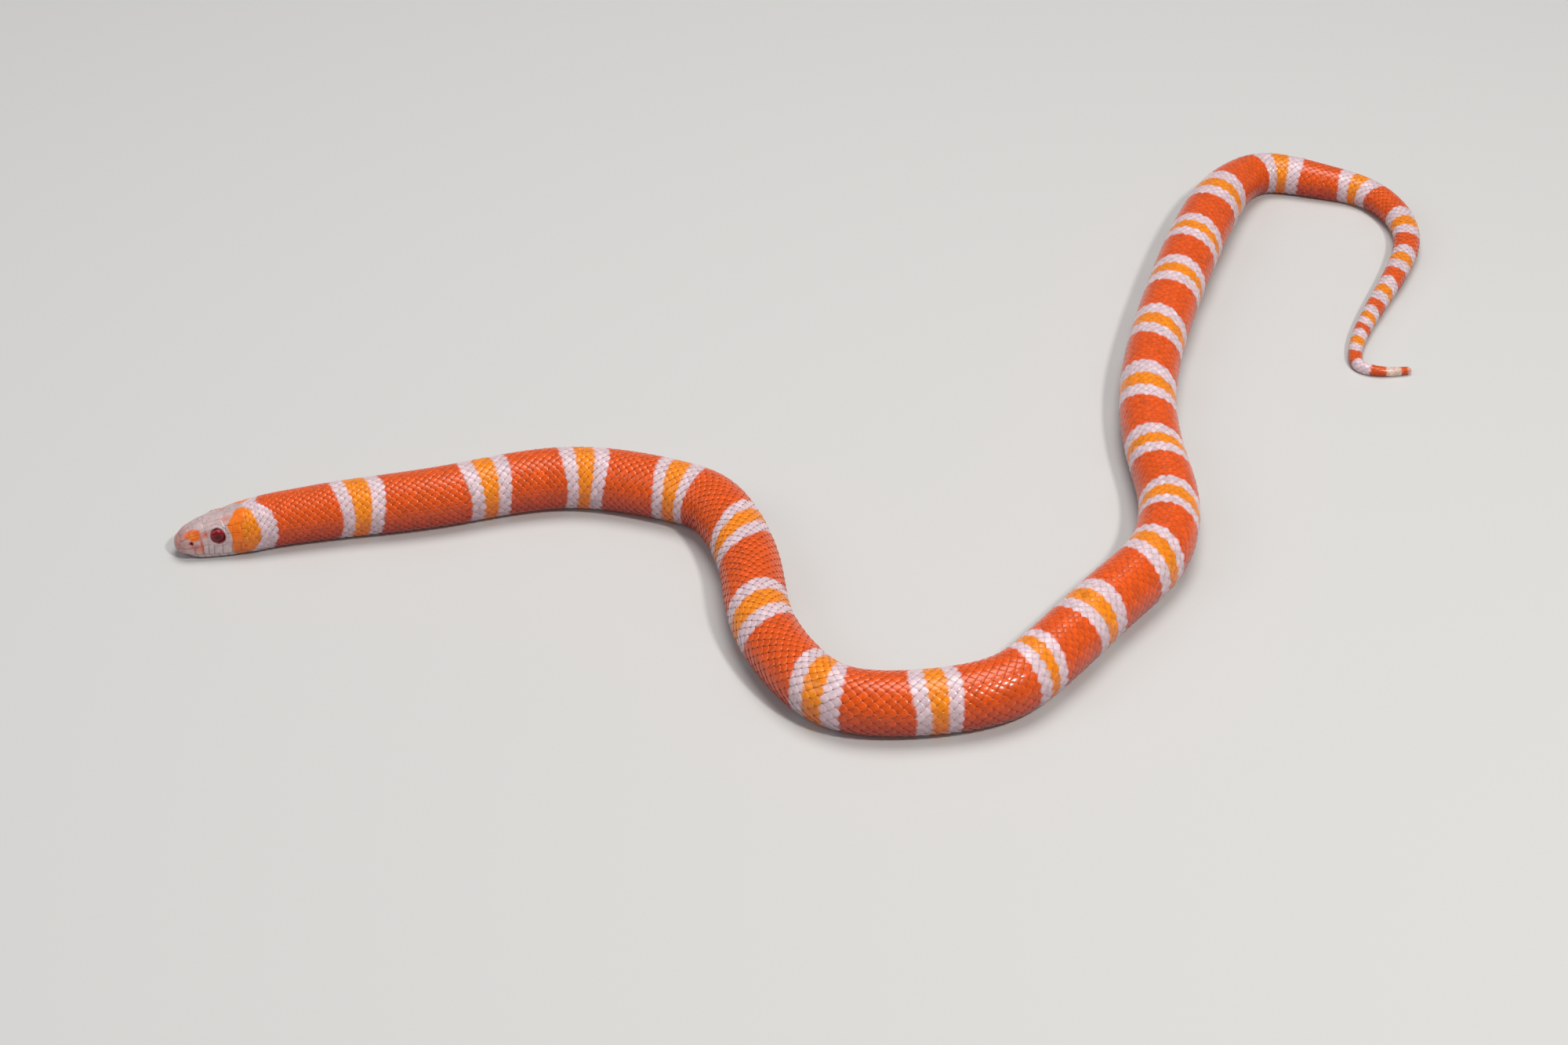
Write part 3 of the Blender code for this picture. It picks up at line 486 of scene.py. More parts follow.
# The rings of the hide: a band of orange between two of white, on red. Distances of the
# front white's start, the orange's start and end and the rear white's end along the
# crown, then how far the ring leans on the left flank and bends forward on both.
TRIADS = [
    (41.6, 45.2, 51.1, 54.9, 2.2, 1.5), (75.7, 79.6, 84.9, 88.8, 0.9, 0.8),
    (102.8, 106.8, 112.2, 116.3, 2.0, 1.2), (129.7, 133.0, 138.3, 141.9, 0.7, 0.5),
    (158.1, 161.9, 167.4, 172.0, 4.2, 0.0), (189.3, 193.9, 200.2, 204.8, 2.1, 0.0),
    (220.7, 224.5, 229.8, 233.7, 1.8, -0.3), (249.0, 252.9, 258.1, 261.7, 0.3, 0.0),
    (278.9, 282.3, 286.0, 289.3, -1.4, 0.0), (300.7, 304.9, 310.2, 315.0, -0.5, 0.0),
    (330.6, 335.1, 340.0, 343.5, -2.1, 0.4), (354.5, 357.9, 362.6, 366.5, -1.3, 3.0),
    (378.0, 382.0, 386.3, 390.8, -2.0, 0.8), (404.0, 409.0, 414.9, 421.1, -2.1, 0.2),
    (434.9, 439.8, 445.1, 450.1, -2.5, 0.6), (463.6, 468.4, 473.0, 477.6, -0.8, 0.8),
    (489.0, 493.4, 497.6, 502.0, -1.8, 0.8), (515.3, 520.7, 526.1, 532.3, -0.7, 0.6),
    (549.8, 554.9, 560.3, 565.0, 0.8, 0.0), (577.2, 581.2, 586.0, 590.7, -0.7, 0.0),
    (602.4, 607.5, 612.6, 617.2, -0.7, 0.5), (623.8, 628.1, 632.4, 636.9, -0.4, 0.5),
    (641.8, 646.7, 650.7, 655.0, -0.8, 0.0), (658.5, 662.1, 665.2, 668.4, -1.0, 0.2),
    (671.0, 674.8, 678.5, 682.0, -0.5, 0.8),
]
TAIL_BANDS = [(685.7, 690.5, "white"), (694.8, 699.1, "cream"), (701.1, 704.0, "pink")]
# Colours as they look in daylight, in parts of 255. The _low colours are painted shade: darker hues
# that the scales take lower on the flanks.
HUES = {
    "red": (230, 84, 5), "orange": (248, 138, 5), "white": (228, 200, 205),
    "cream": (234, 196, 178), "pink": (222, 158, 142), "belly": (230, 204, 192),
    "red_low": (164, 34, 2), "orange_low": (208, 96, 3), "white_low": (186, 160, 168),
    "red_bed": (140, 22, 4), "orange_bed": (186, 72, 5), "white_bed": (146, 126, 154),
}


def linear(colour):
    """Colour parts of 255 as light."""
    share = np.asarray(colour, float) / 255.0
    return np.where(share <= 0.04045, share / 12.92, ((share + 0.055) / 1.055) ** 2.4)


RED, ORANGE, WHITE = (linear(HUES[name]) for name in ("red", "orange", "white"))
BED_RED, BED_ORANGE, BED_WHITE = (
    linear(HUES[name]) for name in ("red_bed", "orange_bed", "white_bed")
)
COLLAR_TURNS = (-180, -37, -6, 11, 34, 54, 77, 95, 113, 138, 180)
COLLAR_ENDS = (22.5, 22.2, 21.6, 23.2, 25.2, 26.1, 26.1, 25.8, 25.0, 23.7, 22.5)


def band_shares(s, angle, edge):
    """How much white and how much orange lies at each place. Edge is the softness."""
    turn = np.radians(np.clip(np.abs(angle), 0, 180))
    sway = np.sin(np.radians(angle))
    white = 1.0 - ease((s - np.interp(angle, COLLAR_TURNS, COLLAR_ENDS)) / edge + 0.5)
    orange = np.zeros_like(white)
    slim = ease(np.abs(angle) / 90.0)
    for front, start, end, rear, lean, arch in TRIADS:
        at = s - lean * sway + arch * (1.0 - np.cos(turn))
        middle, half = 0.5 * (start + end), 0.5 * (end - start) * (1.0 - 0.28 * slim)
        fore = half + (start - front) * (1.0 - 0.13 * slim)
        aft = half + (rear - end) * (1.0 - 0.13 * slim)
        inner = ease((half - np.abs(at - middle)) / edge + 0.5)
        outer = ease((at - middle + fore) / edge + 0.5) * ease((middle + aft - at) / edge + 0.5)
        orange = np.maximum(orange, inner)
        white = np.maximum(white, outer)
    for start, end, _ in TAIL_BANDS:
        white = np.maximum(white, ease((s - start) / edge + 0.5) * ease((end - s) / edge + 0.5))
    return white, orange


def bed_tint(s, angle, edge):
    """The colour of the skin between the scales: darker, partly the skin's own colour and partly
    painted shade of the gaps, and bluish under the white.
    """
    white, orange = band_shares(s, angle, edge)
    orange = np.maximum(orange, temple_share(s, angle, edge))
    colour = BED_RED + (BED_WHITE - BED_RED) * white[:, None]
    return colour + (BED_ORANGE - colour) * orange[:, None]


# Patches of the head: outlines as distances from the snout and angles from the crown.
TEMPLE_PATCH = [
    (13.9, 33), (14.0, 27), (14.9, 21), (15.4, 8), (16.2, 1), (18.0, 2), (19.8, 14),
    (21.0, 42), (21.8, 66), (21.6, 84), (20.4, 97), (18.9, 117), (17.5, 130), (15.4, 130),
    (14.0, 111), (13.7, 89), (14.0, 71), (13.6, 55), (13.0, 39),
]
RIGHT_TEMPLE_PATCH = [
    (10.6, -34), (12.0, -33), (14.1, -31), (15.2, -25), (15.8, -21), (16.6, -16),
    (17.3, -13), (18.2, -15), (19.4, -24), (20.6, -42), (21.4, -66), (21.4, -84),
    (20.4, -97), (18.9, -117), (17.5, -130),
    (15.4, -130), (14.0, -111), (13.7, -89), (14.0, -71), (13.2, -52), (11.6, -40),
]
NASAL_PATCH = [
    (1.8, 31), (2.7, 18), (4.2, 17), (6.0, 34), (5.9, 55), (5.4, 63), (3.9, 63),
]
RIGHT_NASAL_PATCH = [
    (1.8, -34), (2.4, -22), (3.6, -19), (4.8, -30), (5.4, -48), (5.2, -62), (3.9, -63),
]
TURN_TO_MM = 0.11
SPECKS = [(6.0, -8.0), (9.8, -30.0), (14.6, -6.0), (1.3, 3.0), (4.4, 9.0), (8.3, 9.0)]


def patch_share(outline, s, angle, edge):
    """How far inside an outline each place lies, from 0 outside to 1."""
    outline = np.array(outline, float) * (1.0, TURN_TO_MM)
    x, y = s, angle * TURN_TO_MM
    inside = np.zeros(len(s), bool)
    gap = np.full(len(s), 99.0)
    for (ax, ay), (bx, by) in zip(outline, np.roll(outline, -1, axis=0)):
        crosses = (ay > y) != (by > y)
        with np.errstate(divide="ignore", invalid="ignore"):
            inside ^= crosses & (x < (bx - ax) * (y - ay) / (by - ay) + ax)
        length = max((bx - ax) ** 2 + (by - ay) ** 2, 1e-9)
        u = np.clip(((x - ax) * (bx - ax) + (y - ay) * (by - ay)) / length, 0.0, 1.0)
        gap = np.minimum(gap, np.hypot(x - ax - u * (bx - ax), y - ay - u * (by - ay)))
    return ease(np.where(inside, gap, -gap) / edge + 0.5)


def temple_share(s, angle, edge):
    """How far inside the orange patches of the two temples each place lies."""
    left = patch_share(TEMPLE_PATCH, s, angle, edge)
    return np.maximum(left, patch_share(RIGHT_TEMPLE_PATCH, s, angle, edge))


def blotch(s, angle, spot_s, spot_angle, length, width):
    """A soft spot: 1 at its middle, 0 outside."""
    reach = np.hypot((s - spot_s) / length, (angle - spot_angle) * TURN_TO_MM / width)
    return 1.0 - ease(reach)


# The plates are pinkish grey, and the snout is a warmer pink.
PLATE_HUE, SNOUT_HUE = (196, 173, 173), (184, 124, 116)
# Soft spots on the plates: strength, distance from the snout, angle, reach along and
# across, colour, and whether both sides of the head have it.
HEAD_SPOTS = [
    (0.5, 9.0, 15.0, 7.0, 2.6, (208, 178, 174), True),
    (0.45, 7.0, 88.0, 7.5, 2.6, (184, 164, 168), True),
    (0.9, 13.2, 20.0, 2.6, 2.0, (210, 138, 122), False),
    (0.7, 13.0, -18.0, 2.4, 1.6, (210, 144, 128), False),
    (0.85, 4.4, 80.0, 2.2, 1.9, (196, 100, 82), True),
    (0.95, 5.95, 79.0, 0.75, 3.4, (206, 84, 34), True),
    (0.8, 5.2, 90.0, 0.6, 0.7, (232, 140, 62), True),
    (0.95, 7.3, 52.0, 1.5, 1.5, (204, 92, 66), True),
    (0.55, 6.4, 56.0, 1.3, 1.3, (214, 120, 90), True),
    (0.7, 10.4, 61.0, 3.1, 3.2, (200, 140, 136), True),
]


def head_tint(s, angle):
    """The head's colour, from the tables above."""
    side = np.abs(angle)
    colour = np.tile(linear(PLATE_HUE), (len(s), 1))

    def lay(share, hue):
        nonlocal colour
        colour = colour + (linear(hue) - colour) * np.clip(share, 0.0, 1.0)[:, None]

    lay(0.85 * (1.0 - ease((s - 0.8) / 3.4)), SNOUT_HUE)
    for strength, spot_s, spot_angle, length, width, hue, on_both in HEAD_SPOTS:
        lay(strength * blotch(s, side if on_both else angle, spot_s, spot_angle, length, width), hue)
    orange = temple_share(s, angle, 0.5)
    lay(orange, (240, 118, 8))
    # Painted shade: the temple patch is darker lower down the side.
    lay(0.6 * orange * ease((side - 70.0) / 30.0), (182, 76, 4))
    lay(0.5 * orange * blotch(s, side, 15.2, 64.0, 1.6, 1.6), (226, 92, 10))
    nose = patch_share(NASAL_PATCH, s, angle, 1.0)
    nose = np.maximum(nose, patch_share(RIGHT_NASAL_PATCH, s, angle, 1.0))
    lay(nose, (228, 104, 22))
    lay(0.8 * nose * blotch(s, side, 3.7, 42.0, 1.5, 1.3), (246, 146, 40))
    return colour


skin_tints = head_tint(along_head, around_head)
seam_dark = 0.2 * (1.0 - ease(seam_gap / 0.2)) + 0.3 * (1.0 - ease(lip_gap / 0.24))
skin_tints *= 1.0 - (seam_dark * on_plates)[:, None]


def stain_and_shade(share, hue):
    """Lays a colour over the head's skin: its own marks, and painted shade in the nostril and the
    mouth.
    """
    skin_tints[:] += (linear(hue) - skin_tints) * np.clip(share, 0.0, 1.0)[:, None]


stain_and_shade(0.75 * (1.0 - ease((nostril_gap - 0.3) / 0.8)), (186, 66, 44))
# Painted shade: the floor of the nostril pit is painted very dark.
stain_and_shade(1.0 - ease((nostril_gap - 0.2) / 0.35), (96, 14, 14))
stain_and_shade(0.9 * (1.0 - ease((eye_gap - 1.8) / 0.25)), (150, 60, 70))
for s, angle in SPECKS:
    spot = np.linalg.norm(head_flat - on_head(s, angle), axis=1)
    stain_and_shade(0.7 * (1.0 - ease((spot - 0.1) / 0.2)), (120, 98, 112))
# Painted shade: the fold of the mouth is painted a darker pink.
fold_share = np.where(in_fold, 0.75, 0.0)[:, None]
skin_tints += (linear((150, 90, 92)) - skin_tints) * fold_share
behind = ease((along_head - plates_end) / 1.0)[:, None]
bed = bed_tint(along_head, around_head, 1.2)
bed = bed + (BED_ORANGE - bed) * temple_share(along_head, around_head, 0.5)[:, None]
skin_tints = skin_tints + (bed - skin_tints) * behind
body_bed = bed_tint(body_s, body_a, 1.5)
# The tail ends in one small pale cone.
TAIL_CONE = 1.6
cone_share = ease((body_s - SNAKE_LENGTH + TAIL_CONE) / 0.3)[:, None]
body_bed = body_bed + (linear(HUES["pink"]) - body_bed) * cone_share

head_wide, body_wide = head_grid.shape[1], len(body_columns)
points = np.concatenate([head_skin, body_skin]) * MM
faces = []
for row in range(len(HEAD_STATIONS) - 1):
    for k in range(head_wide):
        a, b = row * head_wide + k, row * head_wide + (k + 1) % head_wide
        faces.append((a, b, b + head_wide, a + head_wide))
last = (len(HEAD_STATIONS) - 1) * head_wide
base = len(head_skin)
for k in range(body_wide):
    run = [last + (k * BODY_EVERY + j) % head_wide for j in range(BODY_EVERY + 1)]
    faces.append((*run, base + (k + 1) % body_wide, base + k))
for row in range(len(body_stations) - 1):
    for k in range(body_wide):
        a, b = base + row * body_wide + k, base + row * body_wide + (k + 1) % body_wide
        faces.append((a, b, b + body_wide, a + body_wide))
faces.append(tuple(range(head_wide - 1, -1, -1)))
faces.append(tuple(range(len(points) - body_wide, len(points))))


def new_piece(name, points, faces, tints):
    """A mesh piece with a smooth surface and its colours on its points."""
    mesh = bpy.data.meshes.new(name)
    mesh.from_pydata([tuple(point) for point in points], [], faces)
    mesh.shade_smooth()
    layer = mesh.attributes.new("tint", "FLOAT_COLOR", "POINT")
    values = np.ones((len(points), 4), np.float32)
    values[:, :3] = np.clip(tints, 0.0, 1.0)
    layer.data.foreach_set("color", values.ravel())
    piece = bpy.data.objects.new(name, mesh)
    bpy.context.scene.collection.objects.link(piece)
    return piece


skin = new_piece("milk_snake_skin", points, faces, np.concatenate([skin_tints, body_bed]))


def hide_material(name, roughness, coat, grain):
    """Glossy hide: the piece's own colours, faintly mottled, under a clear coat."""
    material = bpy.data.materials.new(name)
    material.use_nodes = True
    nodes, links = material.node_tree.nodes, material.node_tree.links
    shader = nodes["Principled BSDF"]
    shader.inputs["Coat Weight"].default_value = coat
    shader.inputs["Coat Roughness"].default_value = 0.14
    shader.inputs["Subsurface Weight"].default_value = 0.12
    shader.inputs["Subsurface Radius"].default_value = (1.0, 0.35, 0.25)
    shader.inputs["Subsurface Scale"].default_value = 0.0008
    shader.inputs["Specular IOR Level"].default_value = 0.35
    tint = nodes.new("ShaderNodeAttribute")
    tint.attribute_name = "tint"
    place = nodes.new("ShaderNodeTexCoord")
    mottle = nodes.new("ShaderNodeTexNoise")
    mottle.inputs["Scale"].default_value = 900.0
    mottle.inputs["Detail"].default_value = 3.0
    links.new(place.outputs["Object"], mottle.inputs["Vector"])
    spread = nodes.new("ShaderNodeMapRange")
    spread.inputs["From Min"].default_value = 0.3
    spread.inputs["From Max"].default_value = 0.7
    spread.inputs["To Min"].default_value = 0.84
    spread.inputs["To Max"].default_value = 1.1
    links.new(mottle.outputs["Fac"], spread.inputs["Value"])
    shaded = nodes.new("ShaderNodeVectorMath")
    shaded.operation = "SCALE"
    links.new(tint.outputs["Color"], shaded.inputs[0])
    links.new(spread.outputs["Result"], shaded.inputs["Scale"])
    links.new(shaded.outputs["Vector"], shader.inputs["Base Color"])
    gloss = nodes.new("ShaderNodeMapRange")
    gloss.inputs["To Min"].default_value = roughness - 0.06
    gloss.inputs["To Max"].default_value = roughness + 0.08
    links.new(mottle.outputs["Fac"], gloss.inputs["Value"])
    links.new(gloss.outputs["Result"], shader.inputs["Roughness"])
    pores = nodes.new("ShaderNodeTexNoise")
    pores.inputs["Scale"].default_value = grain
    pores.inputs["Detail"].default_value = 2.0
    links.new(place.outputs["Object"], pores.inputs["Vector"])
    bump = nodes.new("ShaderNodeBump")
    bump.inputs["Strength"].default_value = 0.12
    bump.inputs["Distance"].default_value = 0.0001
    links.new(pores.outputs["Fac"], bump.inputs["Height"])
    links.new(bump.outputs["Normal"], shader.inputs["Normal"])
    return material


skin.data.materials.append(hide_material("head_plate_hide", 0.32, 0.35, 2600.0))
body_nodes = ["neck"] + [f"torso_{k}" for k in range(1, 9)]
body_nodes += [f"tail_{k}" for k in range(1, 4)] + ["tail_tip"]
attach(skin, "root")
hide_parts("cranium", "lower_jaw", *body_nodes)


# The eyes. Each is a round dark red ball, glassy and wet, under a clear fixed scale, and
# it sits deep in the head with a ring of small scales round it.
# Where the iris and the paler rim start, as shares of the eye's radius, and how softly.
IRIS_START, IRIS_SOFT = 0.40, 0.16
RIM_START, RIM_SOFT = 0.80, 0.15
PUPIL_HUE, IRIS_HUE, RIM_HUE = (78, 4, 12), (124, 18, 30), (150, 40, 50)
for sign, name in ((1.0, "eye_left"), (-1.0, "eye_right")):
    bpy.ops.object.select_all(action="DESELECT")
    bpy.ops.mesh.primitive_uv_sphere_add(segments=64, ring_count=32, radius=1.0)
    eye = bpy.context.active_object
    eye.name = f"{name}_ball"
    eye.data.name = eye.name
    centre, out, back = eye_frame(sign)
    local = np.array([tuple(v.co) for v in eye.data.vertices])
    off_axis = np.hypot(local[:, 0], local[:, 1])
    off_axis = np.where(local[:, 2] > 0, off_axis, 1.0)
    iris = ease((off_axis - IRIS_START) / IRIS_SOFT)[:, None]
    edge = ease((off_axis - RIM_START) / RIM_SOFT)[:, None]
    tints = linear(PUPIL_HUE) + (linear(IRIS_HUE) - linear(PUPIL_HUE)) * iris
    tints = tints + (linear(RIM_HUE) - tints) * edge
    up = np.array([0.0, 0.0, 1.0])
    shaped = centre + np.outer(local[:, 0] * EYE_RADIUS, back)
    shaped += np.outer(local[:, 1] * EYE_RADIUS, up) + np.outer(local[:, 2] * EYE_BULGE, out)
    for vertex, point in zip(eye.data.vertices, shaped * MM):
        vertex.co = point
    if sign < 0:
        eye.data.flip_normals()
    eye.data.shade_smooth()
    layer = eye.data.attributes.new("tint", "FLOAT_COLOR", "POINT")
    values = np.ones((len(local), 4), np.float32)
    values[:, :3] = tints
    layer.data.foreach_set("color", values.ravel())
    eye.data.materials.append(hide_material(f"{name}_glaze", 0.12, 0.0, 900.0))
    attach(eye, "root")
    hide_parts(name)


# The scales. The back and flanks are covered with smooth overlapping scales, each a thin
# rounded diamond of horn rooted in the skin at its front and free at its rear.
# Their rows run along the body, each shifted half a scale against the next.
# Distance from the snout, how many rows there are, and the length that shows of a scale.
SCALE_ROWS = [
    (14.0, 31, 1.6), (24.0, 31, 1.9), (36.0, 31, 2.2), (75.0, 29, 2.3), (150.0, 27, 2.4),
    (230.0, 27, 2.5), (530.0, 25, 2.5), (552.0, 23, 2.4), (572.0, 21, 2.4), (590.0, 19, 2.3),
    (610.0, 17, 2.2), (630.0, 15, 2.0), (650.0, 13, 1.8), (668.0, 11, 1.6), (685.0, 9, 1.4),
    (704.0, 7, 1.2),
]
FLANK_TURN = 128.0
# Rows lie this many times closer together on the back than on the flanks.
ROW_CROWDING = 1.22
SCALE_LENGTH = 1.5
SCALE_WIDEST = 0.62
SCALE_WIDTH = 0.99
SCALE_ROOT = 0.27
SCALE_LIFT = 0.17
SCALE_CROWN = 0.14
SCALE_THICK = 0.1
NARROWEST = 0.06
LONG_PLACES = (0.0, 0.2, 0.34, 0.47, 0.6, 0.73, 0.85, 0.94, 1.0)
WIDE_PLACES = (-1.0, -0.72, 0.0, 0.72, 1.0)
chance = np.random.default_rng(11)


def scale_outline(u):
    """Half the width of a scale at a share of its length, as a share of the widest."""
    ahead = np.clip((SCALE_WIDEST - u) / SCALE_WIDEST, 0.0, 1.0)
    behind = np.clip((u - SCALE_WIDEST) / (1.0 - SCALE_WIDEST), 0.0, 1.0)
    return np.where(u < SCALE_WIDEST, 1.0 - 0.75 * ahead**1.6, (1.0 - behind**1.75) ** 0.8)


top_points = []
for u in LONG_PLACES:
    for v in WIDE_PLACES:
        half = max(float(scale_outline(np.array(u))), NARROWEST)
        top_points.append((u, v * half, 1.0 - abs(v) ** 2.2))
template = np.array(top_points)
count_top, wide = len(template), len(WIDE_PLACES)
rows_long = len(LONG_PLACES) - 1
edge_loop = [row * wide for row in range(rows_long + 1)]
edge_loop += [rows_long * wide + k for k in range(1, wide)]
edge_loop += [row * wide + wide - 1 for row in range(rows_long - 1, -1, -1)]
edge_loop += [k for k in range(wide - 2, 0, -1)]
template_faces = []
for row in range(rows_long):
    for k in range(wide - 1):
        a = row * wide + k
        template_faces.append((a + 1, a + wide + 1, a + wide, a))
for k, a in enumerate(edge_loop):
    b = edge_loop[(k + 1) % len(edge_loop)]
    template_faces.append((count_top + (k + 1) % len(edge_loop), count_top + k, a, b))
template_faces.append(tuple(count_top + k for k in range(len(edge_loop))))


def scale_seats():
    """The middle of each scale: distance from the snout, angle, length that shows, and
    half the width that shows in degrees."""
    table = np.array(SCALE_ROWS)
    seats = []
    s, step = SCALE_ROWS[0][0], 0
    while s < SNAKE_LENGTH - 1.0:
        pitch = float(np.interp(s, table[:, 0], table[:, 2]))
        at = max(0, int(np.searchsorted(table[:, 0], s, side="right")) - 1)
        half_rows = (int(table[at, 1]) - 1) // 2
        near = FLANK_TURN / (half_rows * 0.5 * (1.0 + ROW_CROWDING))
        growth = near * (ROW_CROWDING - 1.0) / half_rows
        for row in range(-half_rows, half_rows + 1):
            if (row + step) % 2 == 0:
                turn = near * abs(row) + 0.5 * growth * row * row
                seats.append((s, math.copysign(turn, row), pitch, near + growth * abs(row)))
        s += 0.5 * pitch
        step += 1
    return np.array(seats)


seats = scale_seats()
# The first scales reach this far over the rear edge of the head's plates.
COAT_OVERLAP = 0.8
first_scales = np.interp(np.abs(seats[:, 1]), COAT_TURNS, COAT_STARTS)
seats = seats[seats[:, 0] > first_scales - COAT_OVERLAP]
jitter = chance.normal(0.0, 1.0, (len(seats), 5))
BODY_LENGTHS = [
    ("neck", 0.0, 64.0),
    *[(f"torso_{k + 1}", 64.0 + 60.5 * k, 124.5 + 60.5 * k) for k in range(8)],
    ("tail_1", 548.0, 592.0), ("tail_2", 592.0, 634.0), ("tail_3", 634.0, 672.0),
    ("tail_tip", 672.0, 710.0),
]
scale_finish = hide_material("scale_hide", 0.28, 0.3, 1800.0)
# Scales and scutes thin out where the body is slimmer than this half width.
FULL_GIRTH = 7.8
# How far a ring's edge cuts through a scale, and how unevenly the scales take part.
EDGE_CUT = 0.7
EDGE_WANDER = 0.12
# Painted highlight: the rear edge of each scale is lightened, and painted shade darkens its front.
RIM_HIGHLIGHT = 0.34
FRONT_SHADE = 0.66
# How big a scale's patch is on the unwrap of the skin.
PATCH_SIZE = (0.003, 0.0015)


def scale_tints(s, turn, noise):
    """Colours of the scales' points, by the ring that each scale mostly lies in."""
    white, orange = band_shares(s.ravel(), turn.ravel(), 0.55)
    # Painted shade: the scales' colours grow darker lower on the flanks.
    low = ease((np.abs(turn) - 50.0) / 75.0).ravel()[:, None]
    hues = []
    for name in ("red", "white", "orange"):
        crown, flank = linear(HUES[name]), linear(HUES[f"{name}_low"])
        hues.append(crown + (flank - crown) * low)
    red, pale, amber = hues
    for start, end, name in TAIL_BANDS:
        pale[(s.ravel() > start - 0.6) & (s.ravel() < end + 0.6)] = linear(HUES[name])
    colour = red + (pale - red) * white[:, None]
    colour = colour + (amber - colour) * orange[:, None]
    colour = colour + (amber - colour) * temple_share(s.ravel(), turn.ravel(), 0.5)[:, None]
    colour = colour.reshape(*s.shape, 3)
    return colour * (1.0 + 0.06 * noise[:, None, 1:2]) * (1.0 + 0.008 * noise[:, None, 2:5])


def unwrap(piece, places):
    """Gives a piece its unwrap, from one place for each of its points."""
    layer = piece.data.uv_layers.new(name="OFBake")
    corners = np.empty(len(piece.data.loops), np.int64)
    piece.data.loops.foreach_get("vertex_index", corners)
    layer.data.foreach_set("uv", places[corners].astype(np.float32).ravel())


for node, start, end in BODY_LENGTHS:
    mine = (seats[:, 0] >= start) & (seats[:, 0] < end)
    s0, turn0, pitch, spacing = seats[mine].T
    noise = jitter[mine]
    number = len(s0)
    length = pitch * SCALE_LENGTH
    size = np.clip(section(s0)[0] / FULL_GIRTH, 0.12, 1.0)[:, None]
    u = template[:, 0]
    s = s0[:, None] + (u - SCALE_WIDEST) * length[:, None]
    turn = turn0[:, None] + template[:, 1] * (spacing * SCALE_WIDTH)[:, None]
    swell = template[:, 2] * ease((u - 0.15) / 0.5) * (1.0 - 0.55 * u**6)
    height = -SCALE_ROOT + (SCALE_ROOT + SCALE_LIFT) * u + SCALE_CROWN * swell - 0.07 * u**10
    height = height * size
    top = off_body(s.ravel(), turn.ravel(), height.ravel()).reshape(number, -1, 3)
    low_height = height[:, edge_loop] - SCALE_THICK * size
    low = off_body(s[:, edge_loop].ravel(), turn[:, edge_loop].ravel(), low_height.ravel())
    low = low.reshape(number, -1, 3)
    shape = np.concatenate([top, low], axis=1)
    shape[..., 2] = soft_floor(shape[..., 2], 0.03, 0.25)
    middle = s0 + 0.12 * length + EDGE_WANDER * noise[:, 0]
    every = np.concatenate([np.arange(count_top), edge_loop])
    cut_s = middle[:, None] + EDGE_CUT * (s - middle[:, None])
    cut_turn = turn0[:, None] + EDGE_CUT * (turn - turn0[:, None])
    tint = scale_tints(cut_s[:, every], cut_turn[:, every], noise)
    # Painted shade: the part just behind the scale in front, and the scale's underside, are darkened
    # towards the skin's colour, and the rim is thin.
    shade = 1.0 - ease((u - 0.3) / 0.22) * ease((1.04 - u) / 0.12) * (0.55 + 0.45 * template[:, 2])
    shade = np.concatenate([shade, np.ones(len(edge_loop))])[None, :, None] * FRONT_SHADE
    bed = bed_tint(s0, turn0, 0.9)
    tints = tint + (bed[:, None, :] - tint) * shade
    # Painted highlight: a thin lighter band along each scale's rear rim.
    rim = ease((u - 0.8) / 0.14) * (1.0 - ease((u - 0.985) / 0.015)) * RIM_HIGHLIGHT
    rim = np.concatenate([rim, np.zeros(len(edge_loop))])[None, :, None]
    tints += (np.sqrt(tint) * (1.0, 0.8, 0.62) - tints) * rim
    per = shape.shape[1]
    faces = []
    for k in range(number):
        faces += [tuple(k * per + j for j in face) for face in template_faces]
    piece = new_piece(f"scales_{node}", shape.reshape(-1, 3) * MM, faces, tints.reshape(-1, 3))
    piece.data.materials.append(scale_finish)
    low_s = max(start, float(s0.min()))
    place_u = (s0 - low_s) / (float(s0.max()) - low_s + 1e-6) * 0.98 + 0.01
    place_v = (turn0 + FLANK_TURN) / (2.0 * FLANK_TURN) * 0.98 + 0.01
    patch = np.concatenate([template[:, :2], template[edge_loop, :2]]) - (0.5, 0.0)
    patch = patch * PATCH_SIZE
    place = np.stack([place_u, place_v], -1)[:, None, :] + patch[None]
    unwrap(piece, place.reshape(-1, 2))
    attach(piece, "root")


# The scutes. Under the body runs one row of broad thin plates of horn, one for each row
# of scales, and under the tail they are in pairs. Each is rooted at its front and its
# rear edge laps over the next. The ends turn up the flanks to meet the scales.
SCUTE_TURN = 119.0
SCUTE_LENGTH = 1.35
SCUTE_ROOT = 0.26
SCUTE_LIFT = 0.12
SCUTE_THICK = 0.16
SCUTE_FLOOR = 0.02
TAIL_START = 548.0
SCUTE_LONG = (0.0, 0.3, 0.6, 0.8, 0.93, 1.0)
SCUTE_WIDE = 17
PAIR_GAP = 2.2


def scute_rows():
    """Front ends of the scutes and their pitch, at every row of scales."""
    rows, s = [], 20.5
    table = np.array(SCALE_ROWS)
    while s < SNAKE_LENGTH - 2.5:
        pitch = float(np.interp(s, table[:, 0], table[:, 2]))
        rows.append((s, pitch))
        s += pitch
    return rows


